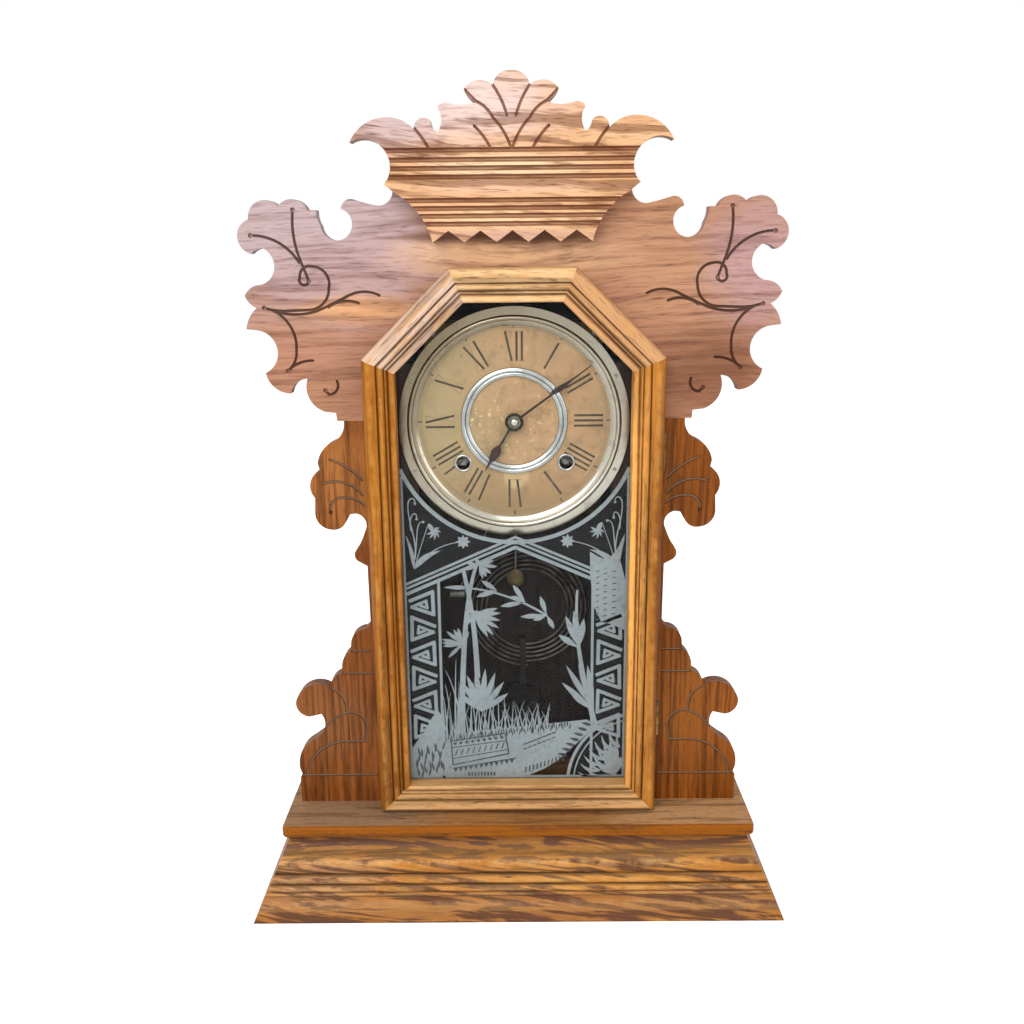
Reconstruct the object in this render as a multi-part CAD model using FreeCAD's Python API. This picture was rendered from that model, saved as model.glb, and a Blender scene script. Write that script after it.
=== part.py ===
import FreeCAD, Part
import math
import os

# Gingerbread mantel clock. Millimetres, +Z up, the front faces -Y.
# The origin is on the floor, midway across and midway between the front and the back.

# Whole object and base
total_depth = 126.0
deck_top = 62.0
deck_thickness = 7.9
deck_half = 166.7
deck_overhang = 5.6
deck_corner_radius = 5.0
deck_edge_radius = 1.6
base_half_top = 161.0
base_side_splay = 24.4
base_front_splay = 26.0
base_moulding_thickness = 15.0
base_board_thickness = 10.0
glue_block_length = 24.0
glue_block_side = 16.0
overrun = 20.0

# Front frame boards and crown
frame_setback = 57.0
board_thickness = 10.0
board_joint_height = 283.0
wing_half = 176.0
wing_rise = 142.0
bracket_half = 158.9
crown_half = 99.6
crown_rise = 100.0
crown_lift = 114.4
crown_thickness = 12.0
crown_tooth_count = 5
carve_radius = 0.95
carve_dot_radius = 1.5
carve_dot_depth = 1.6
reed_radius = 1.7
reed_depth = 1.25

# Case box
case_half = 86.0
case_side_thickness = 9.0
case_inside_height = 362.0
case_top_thickness = 9.0
back_board_thickness = 6.0
back_rebate = 4.0
fit_gap = 0.2

# Door
door_half = 98.3
door_lift = 0.8
door_straight = 324.2
door_rise = 381.0
door_half_top = 40.3
door_thickness = 19.05
door_gap = 0.6
moulding_width = 21.4
rebate_width = 3.5
rebate_depth = 8.1
glass_thickness = 2.0
glass_edge_gap = 0.3
putty_width = 3.0
putty_thickness = 2.2
opening_lap = 12.3

# Door hinges and catch
hinge_length = 25.0
hinge_lower_share = 0.2
hinge_upper_share = 0.8
leaf_thickness = 0.8
leaf_width = 9.5
leaf_edge_gap = 0.2
knuckle_radius = 1.6
knuckle_offset = 1.9
knuckle_proud = 1.9
knuckle_gap = 0.3
hinge_pin_radius = 0.8
running_gap = 0.05
pin_head_radius = 1.5
pin_head_height = 0.9
catch_height = 190.0
catch_length = 20.0
catch_width = 7.0
catch_inset = 3.0
catch_nib_radius = 2.0
catch_nib_proud = 0.3

# Dial
dial_rise = 281.1
dial_setback = 5.0
paper_thickness = 0.3
pan_thickness = 0.6
bezel_drop = 1.5
bezel_radius = 77.5
bezel_inner = 64.8
bezel_height = 3.9
pan_inset = 1.0
ring_outer = 36.0
ring_inner = 29.75
ring_height = 1.7
dial_centre_hole = 3.6
winding_spread = 35.0
winding_drop = 28.5
grommet_outer = 6.0
grommet_inner = 4.5
grommet_height = 1.1
tack_circle = 74.8
tack_angle_deg = 25.0
tack_head_radius = 1.3
tack_head_height = 0.7
tack_shank_radius = 0.5
tack_length = 7.0
batten_width = 20.0
batten_length = 100.0
batten_thickness = 9.7

# Hands
hand_thickness = 0.8
hour_hand_back = 2.4
minute_hand_back = 4.0
hour_hand_length = 39.0
minute_hand_length = 64.0
hour_hand_deg = 211.0
minute_hand_deg = 54.0
hour_hand_hub = 5.0
minute_hand_hub = 3.6
hand_stem_half = 0.65
hand_leaf_half = 2.7
hand_root_share = 1.3
hand_stem_share = 0.98
collet_radius = 6.2
collet_thickness = 0.8
nut_radius = 3.3
nut_height = 2.4
nut_bore_depth = 1.6
post_radius = 1.2
post_length = 3.1
cannon_radius = 2.2
pipe_wall = 0.7

# Movement frame
plate_thickness = 1.6
plate_spacing = 32.0
plate_half = 60.0
plate_up = 64.0
plate_down = 68.0
plate_corner_radius = 6.0
plate_back_room = 9.8
pillar_side = 54.0
pillar_high = 57.0
pillar_low_side = 56.0
pillar_low = 59.5
pillar_radius = 2.5
pillar_tenon_radius = 1.5
pillar_tenon_end = 1.0
pivot_radius = 0.8
arbor_radius = 1.2
pivot_end_gap = 0.3
plate_window_radius = 5.0

# Wood screws, one size for the movement, the gong stand and the hinges
screw_head_radius = 2.4
screw_head_height = 1.1
screw_shank_radius = 1.1
screw_length = 8.0
screw_high = 42.0
screw_low = 45.0
screw_side = 54.0
hinge_screw_spread = 8.0

# Wheels and pinions: tooth counts and modules
great_teeth = 84
great_module = 0.75
second_pinion_leaves = 12
second_teeth = 72
second_module = 0.55
centre_pinion_leaves = 12
centre_teeth = 80
fine_module = 0.45
small_pinion_leaves = 8
third_teeth = 80
cannon_teeth = 12
minute_wheel_teeth = 36
cannon_module = 0.75
minute_pinion_teeth = 10
hour_wheel_teeth = 40
hour_module = 0.72
strike_second_teeth = 72
strike_third_teeth = 64
strike_third_module = 0.5
warning_teeth = 60
escape_teeth = 42
escape_radius = 15.0
escape_tooth_height = 2.4
escape_tooth_shares = ((0, 0), (0.12, 0), (0.25, 1))
escape_offset = 12.0
verge_reach = 18.6
strike_second_deg = 105.0
strike_third_deg = 60.0
warning_deg = 80.0
fly_deg = 15.0
ratchet_teeth = 14
trundle_share = 0.6
lantern_tooth_shares = ((-1.3, 0.72), (0.0, 0.62), (0.45, 0.46), (0.85, 0.16))
cut_tooth_shares = ((-1.15, 0.78), (0.0, 0.6), (0.75, 0.2))
spoke_count = 5

# Places of the wheels between the plates, from the front plate's inside face
great_level = 4.6
great_thickness = 1.8
ratchet_level = 6.7
ratchet_thickness = 1.4
spring_level = 9.2
spring_width = 16.0
front_wheel_level = 1.5
wheel_thickness = 1.2
rear_wheel_level = 29.0
third_level = 24.0
escape_level = 14.0
strike_third_level = 18.0
warning_level = 9.0
fly_level = 13.0
fly_length = 15.0
fly_width = 17.0
fly_thickness = 0.6
pinion_side_gap = 0.6
shroud_thickness = 0.8
shroud_margin = 0.8
hub_radius = 3.2
rim_width = 3.2
spoke_width = 2.4
lift_pin_count = 12
lift_pin_circle = 14.0
lift_pin_radius = 0.5
lift_pin_length = 1.7

# Winding arbors, ratchets, clicks and mainsprings
winding_arbor_radius = 3.0
winding_square = 3.6
winding_square_room = 4.0
winding_tip_gap = 1.5
ratchet_radius = 11.0
ratchet_tooth_height = 1.6
ratchet_fall_share = 0.05
click_circle = 18.0
click_rivet_radius = 1.6
click_half = 1.5
click_clearance = 0.35
click_deg = 35.0
spring_thickness = 0.45
spring_inner = 3.7
spring_outer = 26.0
spring_half_turns = 24
spring_eye_wall = 0.5
spring_eye_gap = 0.15
strike_spring_end_deg = -90.0
time_spring_end_deg = 0.0

# Motion work in front of the front plate
motion_gap = 1.2
cannon_face = 1.6
hour_wheel_thickness = 1.4
hour_wheel_gap = 1.2
stud_radius = 1.0

# Verge, crutch and pendulum
verge_arm_half = 0.9
verge_thickness = 1.6
pallet_clearance = 0.4
verge_hub_radius = 2.0
crutch_length = 30.0
crutch_half = 1.4
crutch_thickness = 1.0
crutch_gap = 0.6
crutch_prong = 2.6
prong_gap = 0.35
pendulum_setback = 2.8
pendulum_rod_radius = 0.7
pendulum_swing_deg = 4.0
pendulum_length = 185.3
suspension_rise = 57.8
suspension_strip = 0.3
suspension_strip_half = 1.8
suspension_strip_length = 6.0
suspension_post_radius = 2.2
suspension_post_gap = 0.25
bob_radius = 6.9
bob_thickness = 4.2
rating_nut_radius = 2.1
rating_nut_height = 2.6

# Hammer and gong
hammer_x = -14.6
hammer_z = -63.1
hammer_wire_radius = 0.8
hammer_level = 27.5
hammer_tail_level = 3.65
hammer_tail_radius = 0.6
hammer_tail_deg = 12.0
hammer_head_radius = 4.2
hammer_head_length = 11.0
hammer_gap = 2.6
gong_x = 9.0
gong_height = 128.9
gong_wire_radius = 0.8
gong_inner = 30.25
gong_pitch = 3.5
gong_half_turns = 10
gong_sample_count = 24
gong_back_room = 1.8
gong_head_width = 5.0
gong_head_rise = 6.0
gong_head_drop = 2.0
gong_arm_depth = 3.6
gong_arm_gap = 0.8
gong_foot_half = 12.0
gong_foot_height = 30.0
gong_foot_lift = 34.0
gong_foot_thickness = 4.0

# Outlines of the right half, as shares of the sizes that carry them.
# Two numbers end a straight run, four numbers are an arc's middle and end.
wing_shares = (
    (0.375, 1.197), (0.43, 1.04), (0.447, 0.985, 0.489, 0.969), (0.534, 0.982, 0.574, 0.997),
    (0.606, 0.987, 0.618, 0.955), (0.59, 0.931, 0.581, 0.887), (0.639, 0.82, 0.695, 0.885),
    (0.706, 0.918, 0.708, 0.952), (0.74, 0.952), (0.789, 1, 0.845, 0.97),
    (0.912, 0.994, 0.956, 0.915), (1, 0.842, 0.955, 0.765), (0.935, 0.783, 0.909, 0.789),
    (0.872, 0.715, 0.926, 0.628), (0.969, 0.61, 0.988, 0.579), (0.972, 0.546, 0.948, 0.524),
    (0.976, 0.483, 0.991, 0.43), (0.952, 0.425), (0.88, 0.331, 0.93, 0.228),
    (0.9, 0.159, 0.841, 0.131), (0.815, 0.183, 0.775, 0.2), (0.774, 0.11, 0.716, 0.044),
    (0.675, 0.038), (0.672, 0),
)
side_shares = (
    (0.717, 1), (0.725, 0.973, 0.758, 0.952), (0.816, 0.928, 0.837, 0.899), (0.83, 0.881),
    (0.875, 0.846, 0.857, 0.813), (0.86, 0.78), (0.846, 0.75, 0.793, 0.734),
    (0.753, 0.738, 0.73, 0.753), (0.711, 0.772), (0.686, 0.774), (0.649, 0.76, 0.648, 0.731),
    (0.661, 0.712, 0.687, 0.684), (0.699, 0.666, 0.678, 0.651), (0.646, 0.641), (0.644, 0.498),
    (0.652, 0.486, 0.667, 0.477), (0.715, 0.465, 0.736, 0.435), (0.74, 0.419),
    (0.77, 0.401, 0.781, 0.372), (0.785, 0.359), (0.821, 0.346, 0.841, 0.32),
    (0.923, 0.327, 0.984, 0.299), (0.991, 0.258, 0.941, 0.24), (0.887, 0.247),
    (0.872, 0.221, 0.891, 0.192), (0.926, 0.177), (0.983, 0.147, 1.001, 0.11),
    (0.999, 0.093, 0.991, 0.081), (1, 0.069), (1, 0),
)
crown_shares = (
    (0, 1), (0.08, 0.976, 0.113, 0.92), (0.209, 0.945, 0.289, 0.898), (0.265, 0.86, 0.219, 0.822),
    (0.301, 0.807, 0.382, 0.818), (0.422, 0.82, 0.452, 0.794), (0.431, 0.72, 0.455, 0.652),
    (0.484, 0.68, 0.5, 0.722), (0.55, 0.736, 0.6, 0.672), (0.687, 0.728, 0.793, 0.74),
    (0.922, 0.692, 1, 0.599), (0.9, 0.62, 0.813, 0.578), (0.757, 0.47, 0.799, 0.352),
    (0.739, 0.304), (0.598, 0.188, 0.505, 0),
)
crown_tooth_share = 0.071
crown_reed_shares = (0.548, 0.492, 0.442, 0.39, 0.252, 0.204, 0.158, 0.11)

# Front of the base moulding: share of the splay forward, share of the height under the deck
base_moulding_shares = (
    (0, 1), (0.023, 0.876, 0.2, 0.802), (0.285, 0.791), (0.538, 0.725, 0.55, 0.588),
    (0.515, 0.567), (0.681, 0.525, 0.638, 0.455), (0.615, 0.445), (0.754, 0.414, 0.719, 0.362),
    (0.7, 0.353), (0.738, 0.311), (0.769, 0.218, 0.919, 0.163), (0.958, 0.155), (1, 0),
)
# Door moulding section: share of its width from the outer edge, share of its thickness from the back
door_moulding_shares = (
    (0, 0), (0, 0.62), (0.05, 0.9, 0.17, 1), (0.42, 0.955), (0.435, 0.87), (0.455, 0.87),
    (0.555, 0.97, 0.66, 0.87), (0.675, 0.815), (0.715, 0.86, 0.755, 0.81), (0.775, 0.79),
    (0.795, 0.79), (0.81, 0.86), (0.9, 0.955, 1, 0.93),
)

# Carved lines on the right wing, on the right side board and on the crown's right half
wing_carving_shares = (
    ((0.793, 0.954), (0.795, 0.838, 0.776, 0.735), (0.749, 0.644)),
    ((0.952, 0.845), (0.858, 0.817, 0.781, 0.725)),
    ((0.749, 0.642), (0.766, 0.625, 0.781, 0.659), (0.769, 0.697, 0.734, 0.707),
     (0.686, 0.676, 0.677, 0.61), (0.698, 0.545, 0.752, 0.514), (0.835, 0.51),
     (0.881, 0.513, 0.92, 0.525)),
    ((0.881, 0.508), (0.795, 0.494, 0.722, 0.51), (0.665, 0.541, 0.608, 0.575),
     (0.551, 0.593, 0.492, 0.576)),
    ((0.682, 0.525), (0.625, 0.552, 0.57, 0.542)),
    ((0.889, 0.513), (0.82, 0.423, 0.81, 0.331), (0.82, 0.275, 0.847, 0.237)),
    ((0.847, 0.237), (0.801, 0.273, 0.751, 0.283), (0.692, 0.251, 0.665, 0.187),
     (0.672, 0.137, 0.698, 0.125), (0.71, 0.144)),
)
wing_dot_shares = (
    (0.793, 0.954), (0.952, 0.845), (0.749, 0.642), (0.92, 0.525), (0.847, 0.237), (0.71, 0.144),
)
side_carving_shares = (
    ((0.784, 0.907), (0.715, 0.888, 0.651, 0.857)),
    ((0.821, 0.848), (0.743, 0.852, 0.651, 0.819)),
    ((0.793, 0.781), (0.783, 0.802, 0.733, 0.813), (0.686, 0.809, 0.648, 0.795)),
    ((0.648, 0.418), (0.733, 0.418)),
    ((0.648, 0.358), (0.777, 0.358)),
    ((0.834, 0.317), (0.789, 0.295, 0.772, 0.254)),
    ((0.872, 0.208), (0.818, 0.238, 0.759, 0.252), (0.707, 0.24, 0.683, 0.211), (0.695, 0.17)),
    ((0.695, 0.17), (0.768, 0.17), (0.9, 0.146, 0.965, 0.092), (0.969, 0.079)),
    ((0.648, 0.075), (0.992, 0.075)),
)
side_dot_shares = ((0.793, 0.777),)
crown_carving_shares = (
    ((0.112, 0.918), (0.064, 0.84, 0.028, 0.746)),
    ((0.287, 0.896), (0.217, 0.828), (0.157, 0.79, 0.114, 0.734)),
    ((0.104, 0.724), (0.042, 0.642, 0.004, 0.556)),
    ((0.229, 0.686), (0.177, 0.63, 0.131, 0.56)),
    ((0.596, 0.674), (0.55, 0.618, 0.512, 0.556)),
)
# Hand outline: share of the length along it, share of the leaf's half width beside it
hour_hand_shares = ((0.5, 0.4), (0.56, 0.95), (0.63, 1.2), (0.71, 1.0), (0.82, 0.36), (1, 0.08))
minute_hand_shares = ((0.5, 0.28), (0.54, 0.5), (0.59, 0.68), (0.65, 0.5), (0.74, 0.22), (1, 0.09))

# Turned outlines: share of the width from the inside, share of the height from the seat
bezel_shares = ((1, 0), (1, 0.5), (0.57, 0.5), (0.43, 1.0, 0.28, 0.5), (0.12, 0.36, 0, 0.1), (0, 0))
ring_shares = ((0, 0), (0.1, 0.8, 0.25, 0.95), (0.42, 0.95, 0.5, 0.45),
               (0.6, 1.0, 0.78, 1.0), (0.94, 0.85, 1, 0))
grommet_shares = ((0, -0.8), (0, 0), (0.5, 1, 1, 0), (0.33, 0), (0.33, -0.8))
nut_shares = ((0, 0), (0, 1), (0.6, 0.84, 1, 0.3), (1, 0))
bob_shares = ((0, 0), (0.6, 0.13, 1, 0.36), (1, 0.64), (0.6, 0.87, 0, 1))
# Windows in the movement plates: across from, across to, up from, up to, as shares of the half width
plate_window_shares = ((-0.28, 0.28, -0.92, -0.5), (0.47, 0.82, 0.22, 0.82), (-0.42, -0.14, 0.1, 0.62))

# Places worked out from the sizes above
base_front = -total_depth / 2
back_face = total_depth / 2
deck_bottom = deck_top - deck_thickness
base_half = base_half_top + base_side_splay
deck_front = base_front + base_front_splay - deck_overhang
frame_front = base_front + frame_setback
frame_back = frame_front + board_thickness
board_joint = deck_top + board_joint_height
crown_bottom = board_joint + crown_lift
case_top_under = deck_top + case_inside_height
back_board_front = back_face - back_board_thickness
door_back = frame_front - door_gap
door_front = door_back - door_thickness
door_bottom = deck_top + door_lift
door_shoulder = door_bottom + door_straight
door_top = door_bottom + door_rise
dial_z = deck_top + dial_rise
bezel_z = dial_z - bezel_drop
dial_face = frame_front + dial_setback
pan_front = dial_face + paper_thickness
pan_back = pan_front + pan_thickness
plate_rear_back = back_board_front - plate_back_room
plate_rear_front = plate_rear_back - plate_thickness
plate_front_back = plate_rear_front - plate_spacing
plate_front_front = plate_front_back - plate_thickness
pendulum_y = plate_rear_back + pendulum_setback
gong_y = back_board_front - gong_back_room - gong_wire_radius
gong_z = deck_top + gong_height
hinge_x = door_half + knuckle_offset
hinge_y = frame_front - knuckle_proud


def vec(x, y, z):
    """A point or direction."""
    return FreeCAD.Vector(x, y, z)


def block(x0, x1, y0, y1, z0, z1):
    """A box between two values on each axis."""
    return Part.makeBox(x1 - x0, y1 - y0, z1 - z0, vec(x0, y0, z0))


def rod_y(radius, x, z, y0, y1):
    """A round bar along the depth."""
    return Part.makeCylinder(radius, y1 - y0, vec(x, y0, z), vec(0, 1, 0))


def rod_z(radius, x, y, z0, z1):
    """An upright round bar."""
    return Part.makeCylinder(radius, z1 - z0, vec(x, y, z0), vec(0, 0, 1))


def tube_y(outer, inner, x, z, y0, y1):
    """A round tube along the depth."""
    return rod_y(outer, x, z, y0, y1).cut(rod_y(inner, x, z, y0 - overrun, y1 + overrun))


def mirrored(shape):
    """The same shape on the other side of the middle plane."""
    return shape.mirror(vec(0, 0, 0), vec(1, 0, 0))


def export(name, *shapes):
    """Write one sub-part, made of one or more separate solids."""
    shape = shapes[0] if len(shapes) == 1 else Part.makeCompound(list(shapes))
    if not shape.isValid():
        print("not valid:", name)
    shape.exportStep("parts/" + name + ".step")
    print(name, len(shape.Solids), "solids", round(shape.Volume))


def on_front(width, base, rise, y, side=1):
    """A function that places a pair of shares on an upright plane."""
    return lambda across, up: vec(side * width * across, y, base + rise * up)


def path_edges(points, place):
    """Straight runs and arcs through the listed points."""
    edges = []
    last = place(*points[0])
    for point in points[1:]:
        end = place(*point[-2:])
        if len(point) == 2:
            edges.append(Part.LineSegment(last, end).toShape())
        else:
            edges.append(Part.Arc(last, place(*point[:2]), end).toShape())
        last = end
    return edges


def face_from(edges):
    """A flat face inside a row of edges, closed by a straight run where it is open."""
    first = edges[0].Vertexes[0].Point
    last = edges[-1].Vertexes[-1].Point
    if first.distanceToPoint(last) > running_gap / 10:
        edges = edges + [Part.LineSegment(last, first).toShape()]
    return Part.Face(Part.Wire(edges))


def polygon_face(points):
    """A flat face inside straight runs."""
    return Part.Face(Part.makePolygon(list(points) + [points[0]]))


def deep(face, depth):
    """A face of a front view, made solid along the depth."""
    return face.extrude(vec(0, depth, 0))


def both_halves(half):
    """A right half joined with its mirror image."""
    return half.fuse(mirrored(half)).removeSplitter()


def octagon(inset):
    """Side, shoulder, half top and top of the door's outline, drawn in by an inset."""
    run = door_half - door_half_top
    climb = door_top - door_shoulder
    slant = math.hypot(run, climb)
    side = door_half - inset
    shoulder = door_shoulder + (climb / slant * inset - inset) * slant / run
    top = door_top - inset
    half_top = door_half_top + (run / slant * inset - inset) * slant / climb
    return side, shoulder, half_top, top


def octagon_corners(inset):
    """The door outline's six corners, from bottom left round by the top to bottom right."""
    side, shoulder, half_top, top = octagon(inset)
    low = door_bottom + inset
    return [(-side, low), (-side, shoulder), (-half_top, top),
            (half_top, top), (side, shoulder), (side, low)]


def carved(board, lines, dots, place, depth_y):
    """Cut round-bottomed lines and small round dots into a board's front."""
    cutters = []
    for line in lines:
        for edge in path_edges(line, place):
            start = edge.valueAt(edge.FirstParameter)
            tangent = edge.tangentAt(edge.FirstParameter)
            ring = Part.Wire(Part.Circle(start, tangent, carve_radius).toShape())
            cutters.append(Part.Wire(edge).makePipeShell([ring], True, False))
            cutters.append(Part.makeSphere(carve_radius, start))
        cutters.append(Part.makeSphere(carve_radius, edge.valueAt(edge.LastParameter)))
    for dot in dots:
        centre = place(*dot)
        cutters.append(rod_y(carve_dot_radius, centre.x, centre.z, depth_y - overrun,
                             depth_y + carve_dot_depth))
    for cutter in cutters:
        board = board.cut(cutter)
    return board


def screw_y(x, z, y_seat, toward, head_radius=screw_head_radius):
    """A wood screw along the depth, its head on y_seat and its shank going toward +1 or -1."""
    head = Part.makeCylinder(head_radius, screw_head_height, vec(x, y_seat, z), vec(0, -toward, 0))
    shank = Part.makeCylinder(screw_shank_radius, screw_length, vec(x, y_seat, z), vec(0, toward, 0))
    return head.fuse(shank).removeSplitter()


# Base


def make_base():
    """Deck, moulded front, two splayed sides and the glue blocks under the deck."""
    deck = block(-deck_half, deck_half, deck_front, back_face, deck_bottom, deck_top)
    front_corners = [e for e in deck.Edges if abs(e.CenterOfMass.y - deck_front) < fit_gap
                     and abs(e.CenterOfMass.z - (deck_top + deck_bottom) / 2) < fit_gap]
    deck = deck.makeFillet(deck_corner_radius, front_corners)
    rims = [e for e in deck.Edges if e.CenterOfMass.y < back_face - fit_gap
            and min(abs(e.CenterOfMass.z - deck_top), abs(e.CenterOfMass.z - deck_bottom)) < fit_gap]
    deck = deck.makeFillet(deck_edge_radius, rims)
    export("deck_board", deck)

    top_front = base_front + base_front_splay
    trapezium = polygon_face([vec(-base_half, 0, 0), vec(base_half, 0, 0),
                              vec(base_half_top, 0, deck_bottom),
                              vec(-base_half_top, 0, deck_bottom)])
    trapezium.translate(vec(0, base_front - overrun, 0))
    between_sides = deep(trapezium, total_depth + 2 * overrun)
    profile = path_edges(base_moulding_shares,
                         lambda out, up: vec(-base_half, top_front - base_front_splay * out,
                                             deck_bottom * up))
    back_low = vec(-base_half, base_front + base_moulding_thickness, 0)
    back_high = vec(-base_half, top_front + base_moulding_thickness, deck_bottom)
    profile.append(Part.LineSegment(vec(-base_half, base_front, 0), back_low).toShape())
    profile.append(Part.LineSegment(back_low, back_high).toShape())
    moulding = face_from(profile).extrude(vec(2 * base_half, 0, 0)).common(between_sides)
    export("base_front_moulding", moulding)

    ahead = polygon_face([back_low, back_high,
                          vec(-base_half, base_front - overrun, deck_bottom),
                          vec(-base_half, base_front - overrun, 0)])
    ahead = ahead.extrude(vec(2 * base_half, 0, 0))
    side_face = polygon_face([vec(base_half, base_front, 0),
                              vec(base_half_top, base_front, deck_bottom),
                              vec(base_half_top - base_board_thickness, base_front, deck_bottom),
                              vec(base_half - base_board_thickness, base_front, 0)])
    side = deep(side_face, total_depth).cut(ahead)
    export("base_side_right", side)
    export("base_side_left", mirrored(side))
    make_glue_blocks(back_low, back_high)


def make_glue_blocks(back_low, back_high):
    """Wood blocks glued in the corners between the deck and the base boards."""
    low_share = 1 - glue_block_side / deck_bottom
    front_low = back_low + (back_high - back_low) * low_share
    section = [(front_low.y, front_low.z), (back_high.y, deck_bottom),
               (back_high.y + glue_block_side, deck_bottom),
               (front_low.y + glue_block_side, front_low.z)]
    blocks = []
    for place in (-1, 0, 1):
        x0 = place * base_half_top / 2 - glue_block_length / 2
        blocks.append(polygon_face([vec(x0, y, z) for y, z in section])
                      .extrude(vec(glue_block_length, 0, 0)))
    inner_top = base_half_top - base_board_thickness
    inner_low = inner_top + base_side_splay * glue_block_side / deck_bottom
    side_section = [(inner_low, front_low.z), (inner_top, deck_bottom),
                    (inner_top - glue_block_side, deck_bottom),
                    (inner_low - glue_block_side, front_low.z)]
    front_block = back_high.y + glue_block_side
    for y0 in (front_block, back_face - glue_block_length - glue_block_side):
        right = polygon_face([vec(x, y0, z) for x, z in side_section])
        right = deep(right, glue_block_length)
        blocks.append(right)
        blocks.append(mirrored(right))
    export("glue_blocks", *blocks)


# Front frame


def hinge_heights():
    """Lower ends of the two hinges."""
    return [door_bottom + door_straight * share - hinge_length / 2
            for share in (hinge_lower_share, hinge_upper_share)]


def make_frame_boards():
    """Top board with its wings, two side boards with ears and brackets, and the crown."""
    place = on_front(wing_half, board_joint, wing_rise, frame_front)
    side, shoulder, half_top, top = octagon(opening_lap)
    outline = path_edges(wing_shares, place)
    crest = outline[0].Vertexes[0].Point
    inner = [outline[-1].Vertexes[-1].Point, vec(side, frame_front, board_joint),
             vec(side, frame_front, shoulder), vec(half_top, frame_front, top),
             vec(0, frame_front, top), vec(0, frame_front, crest.z), crest]
    outline += [Part.LineSegment(a, b).toShape() for a, b in zip(inner, inner[1:])]
    half = deep(face_from(outline), board_thickness)
    half = carved(half, wing_carving_shares, wing_dot_shares, place, frame_front)
    export("top_board", both_halves(half))

    place = on_front(bracket_half, deck_top, board_joint_height, frame_front)
    outline = path_edges(side_shares, place)
    inner = [outline[-1].Vertexes[-1].Point, vec(case_half, frame_front, deck_top),
             vec(case_half, frame_front, board_joint), outline[0].Vertexes[0].Point]
    outline += [Part.LineSegment(a, b).toShape() for a, b in zip(inner, inner[1:])]
    board = deep(face_from(outline), board_thickness)
    board = carved(board, side_carving_shares, side_dot_shares, place, frame_front)
    right = board
    for z0 in hinge_heights():
        right = right.cut(block(hinge_x - knuckle_offset - leaf_width, hinge_x + leaf_edge_gap,
                                frame_front - overrun, frame_front + leaf_thickness,
                                z0, z0 + hinge_length))
        for screw in hinge_screws(z0):
            right = right.cut(screw)
    export("side_board_right", right)
    catch_z = deck_top + catch_height
    left = mirrored(board).cut(block(-case_half - catch_inset - catch_width,
                                     -case_half - catch_inset, frame_front - overrun,
                                     frame_front + leaf_thickness, catch_z,
                                     catch_z + catch_length))
    export("side_board_left", left)


def make_crown():
    """The thick crown: carved fan, reeded block and saw-toothed foot."""
    front = frame_front - crown_thickness
    place = on_front(crown_half, crown_bottom, crown_rise, front)
    outline = path_edges(crown_shares, place)
    corner = outline[-1].Vertexes[-1].Point
    step = corner.x / crown_tooth_count
    foot = [corner]
    for index in range(1, crown_tooth_count + 1):
        height = crown_rise * crown_tooth_share * (index % 2)
        foot.append(vec(corner.x - step * index, front, crown_bottom + height))
    foot.append(vec(0, front, crown_bottom + crown_rise))
    outline += [Part.LineSegment(a, b).toShape() for a, b in zip(foot, foot[1:])]
    half = deep(face_from(outline), crown_thickness)
    half = carved(half, crown_carving_shares, (), place, front)
    for share in crown_reed_shares:
        z = crown_bottom + crown_rise * share
        groove = Part.makeCylinder(reed_radius, crown_half + overrun,
                                   vec(-overrun, front + reed_depth - reed_radius, z),
                                   vec(1, 0, 0))
        half = half.cut(groove)
    export("crown_board", both_halves(half))


# Case box


def make_case():
    """Two sides, top and back board of the box behind the front frame."""
    outer = case_half + case_side_thickness
    side = block(case_half, outer, frame_back, back_face, deck_top, case_top_under)
    side = side.cut(block(case_half, case_half + back_rebate, back_board_front,
                          back_face + overrun, deck_top, case_top_under))
    export("case_side_right", side)
    export("case_side_left", mirrored(side))
    top_upper = case_top_under + case_top_thickness
    export("case_top", block(-outer, outer, frame_back, back_board_front,
                             case_top_under, top_upper))
    back_half = case_half + back_rebate - fit_gap
    back = block(-back_half, back_half, back_board_front, back_face, deck_top, top_upper)
    for screw in gong_screws():
        back = back.cut(screw)
    export("back_board", back)
    battens = []
    shoulder = octagon(opening_lap)[1] - fit_gap
    for side_sign in (-1, 1):
        x0 = case_half - batten_width if side_sign > 0 else -case_half
        batten = block(x0, x0 + batten_width, pan_back, pan_back + batten_thickness,
                       shoulder - batten_length, shoulder)
        for tack in dial_tacks():
            batten = batten.cut(tack)
        battens.append(batten)
        x1 = side_sign * screw_side - batten_width / 2
        rear = block(x1, x1 + batten_width, plate_rear_back, plate_rear_back + plate_back_room,
                     dial_z - batten_length / 2, dial_z + batten_length / 2)
        for screw in movement_screws():
            rear = rear.cut(screw)
        battens.append(rear)
    export("case_battens", *battens)


# Door


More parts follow.
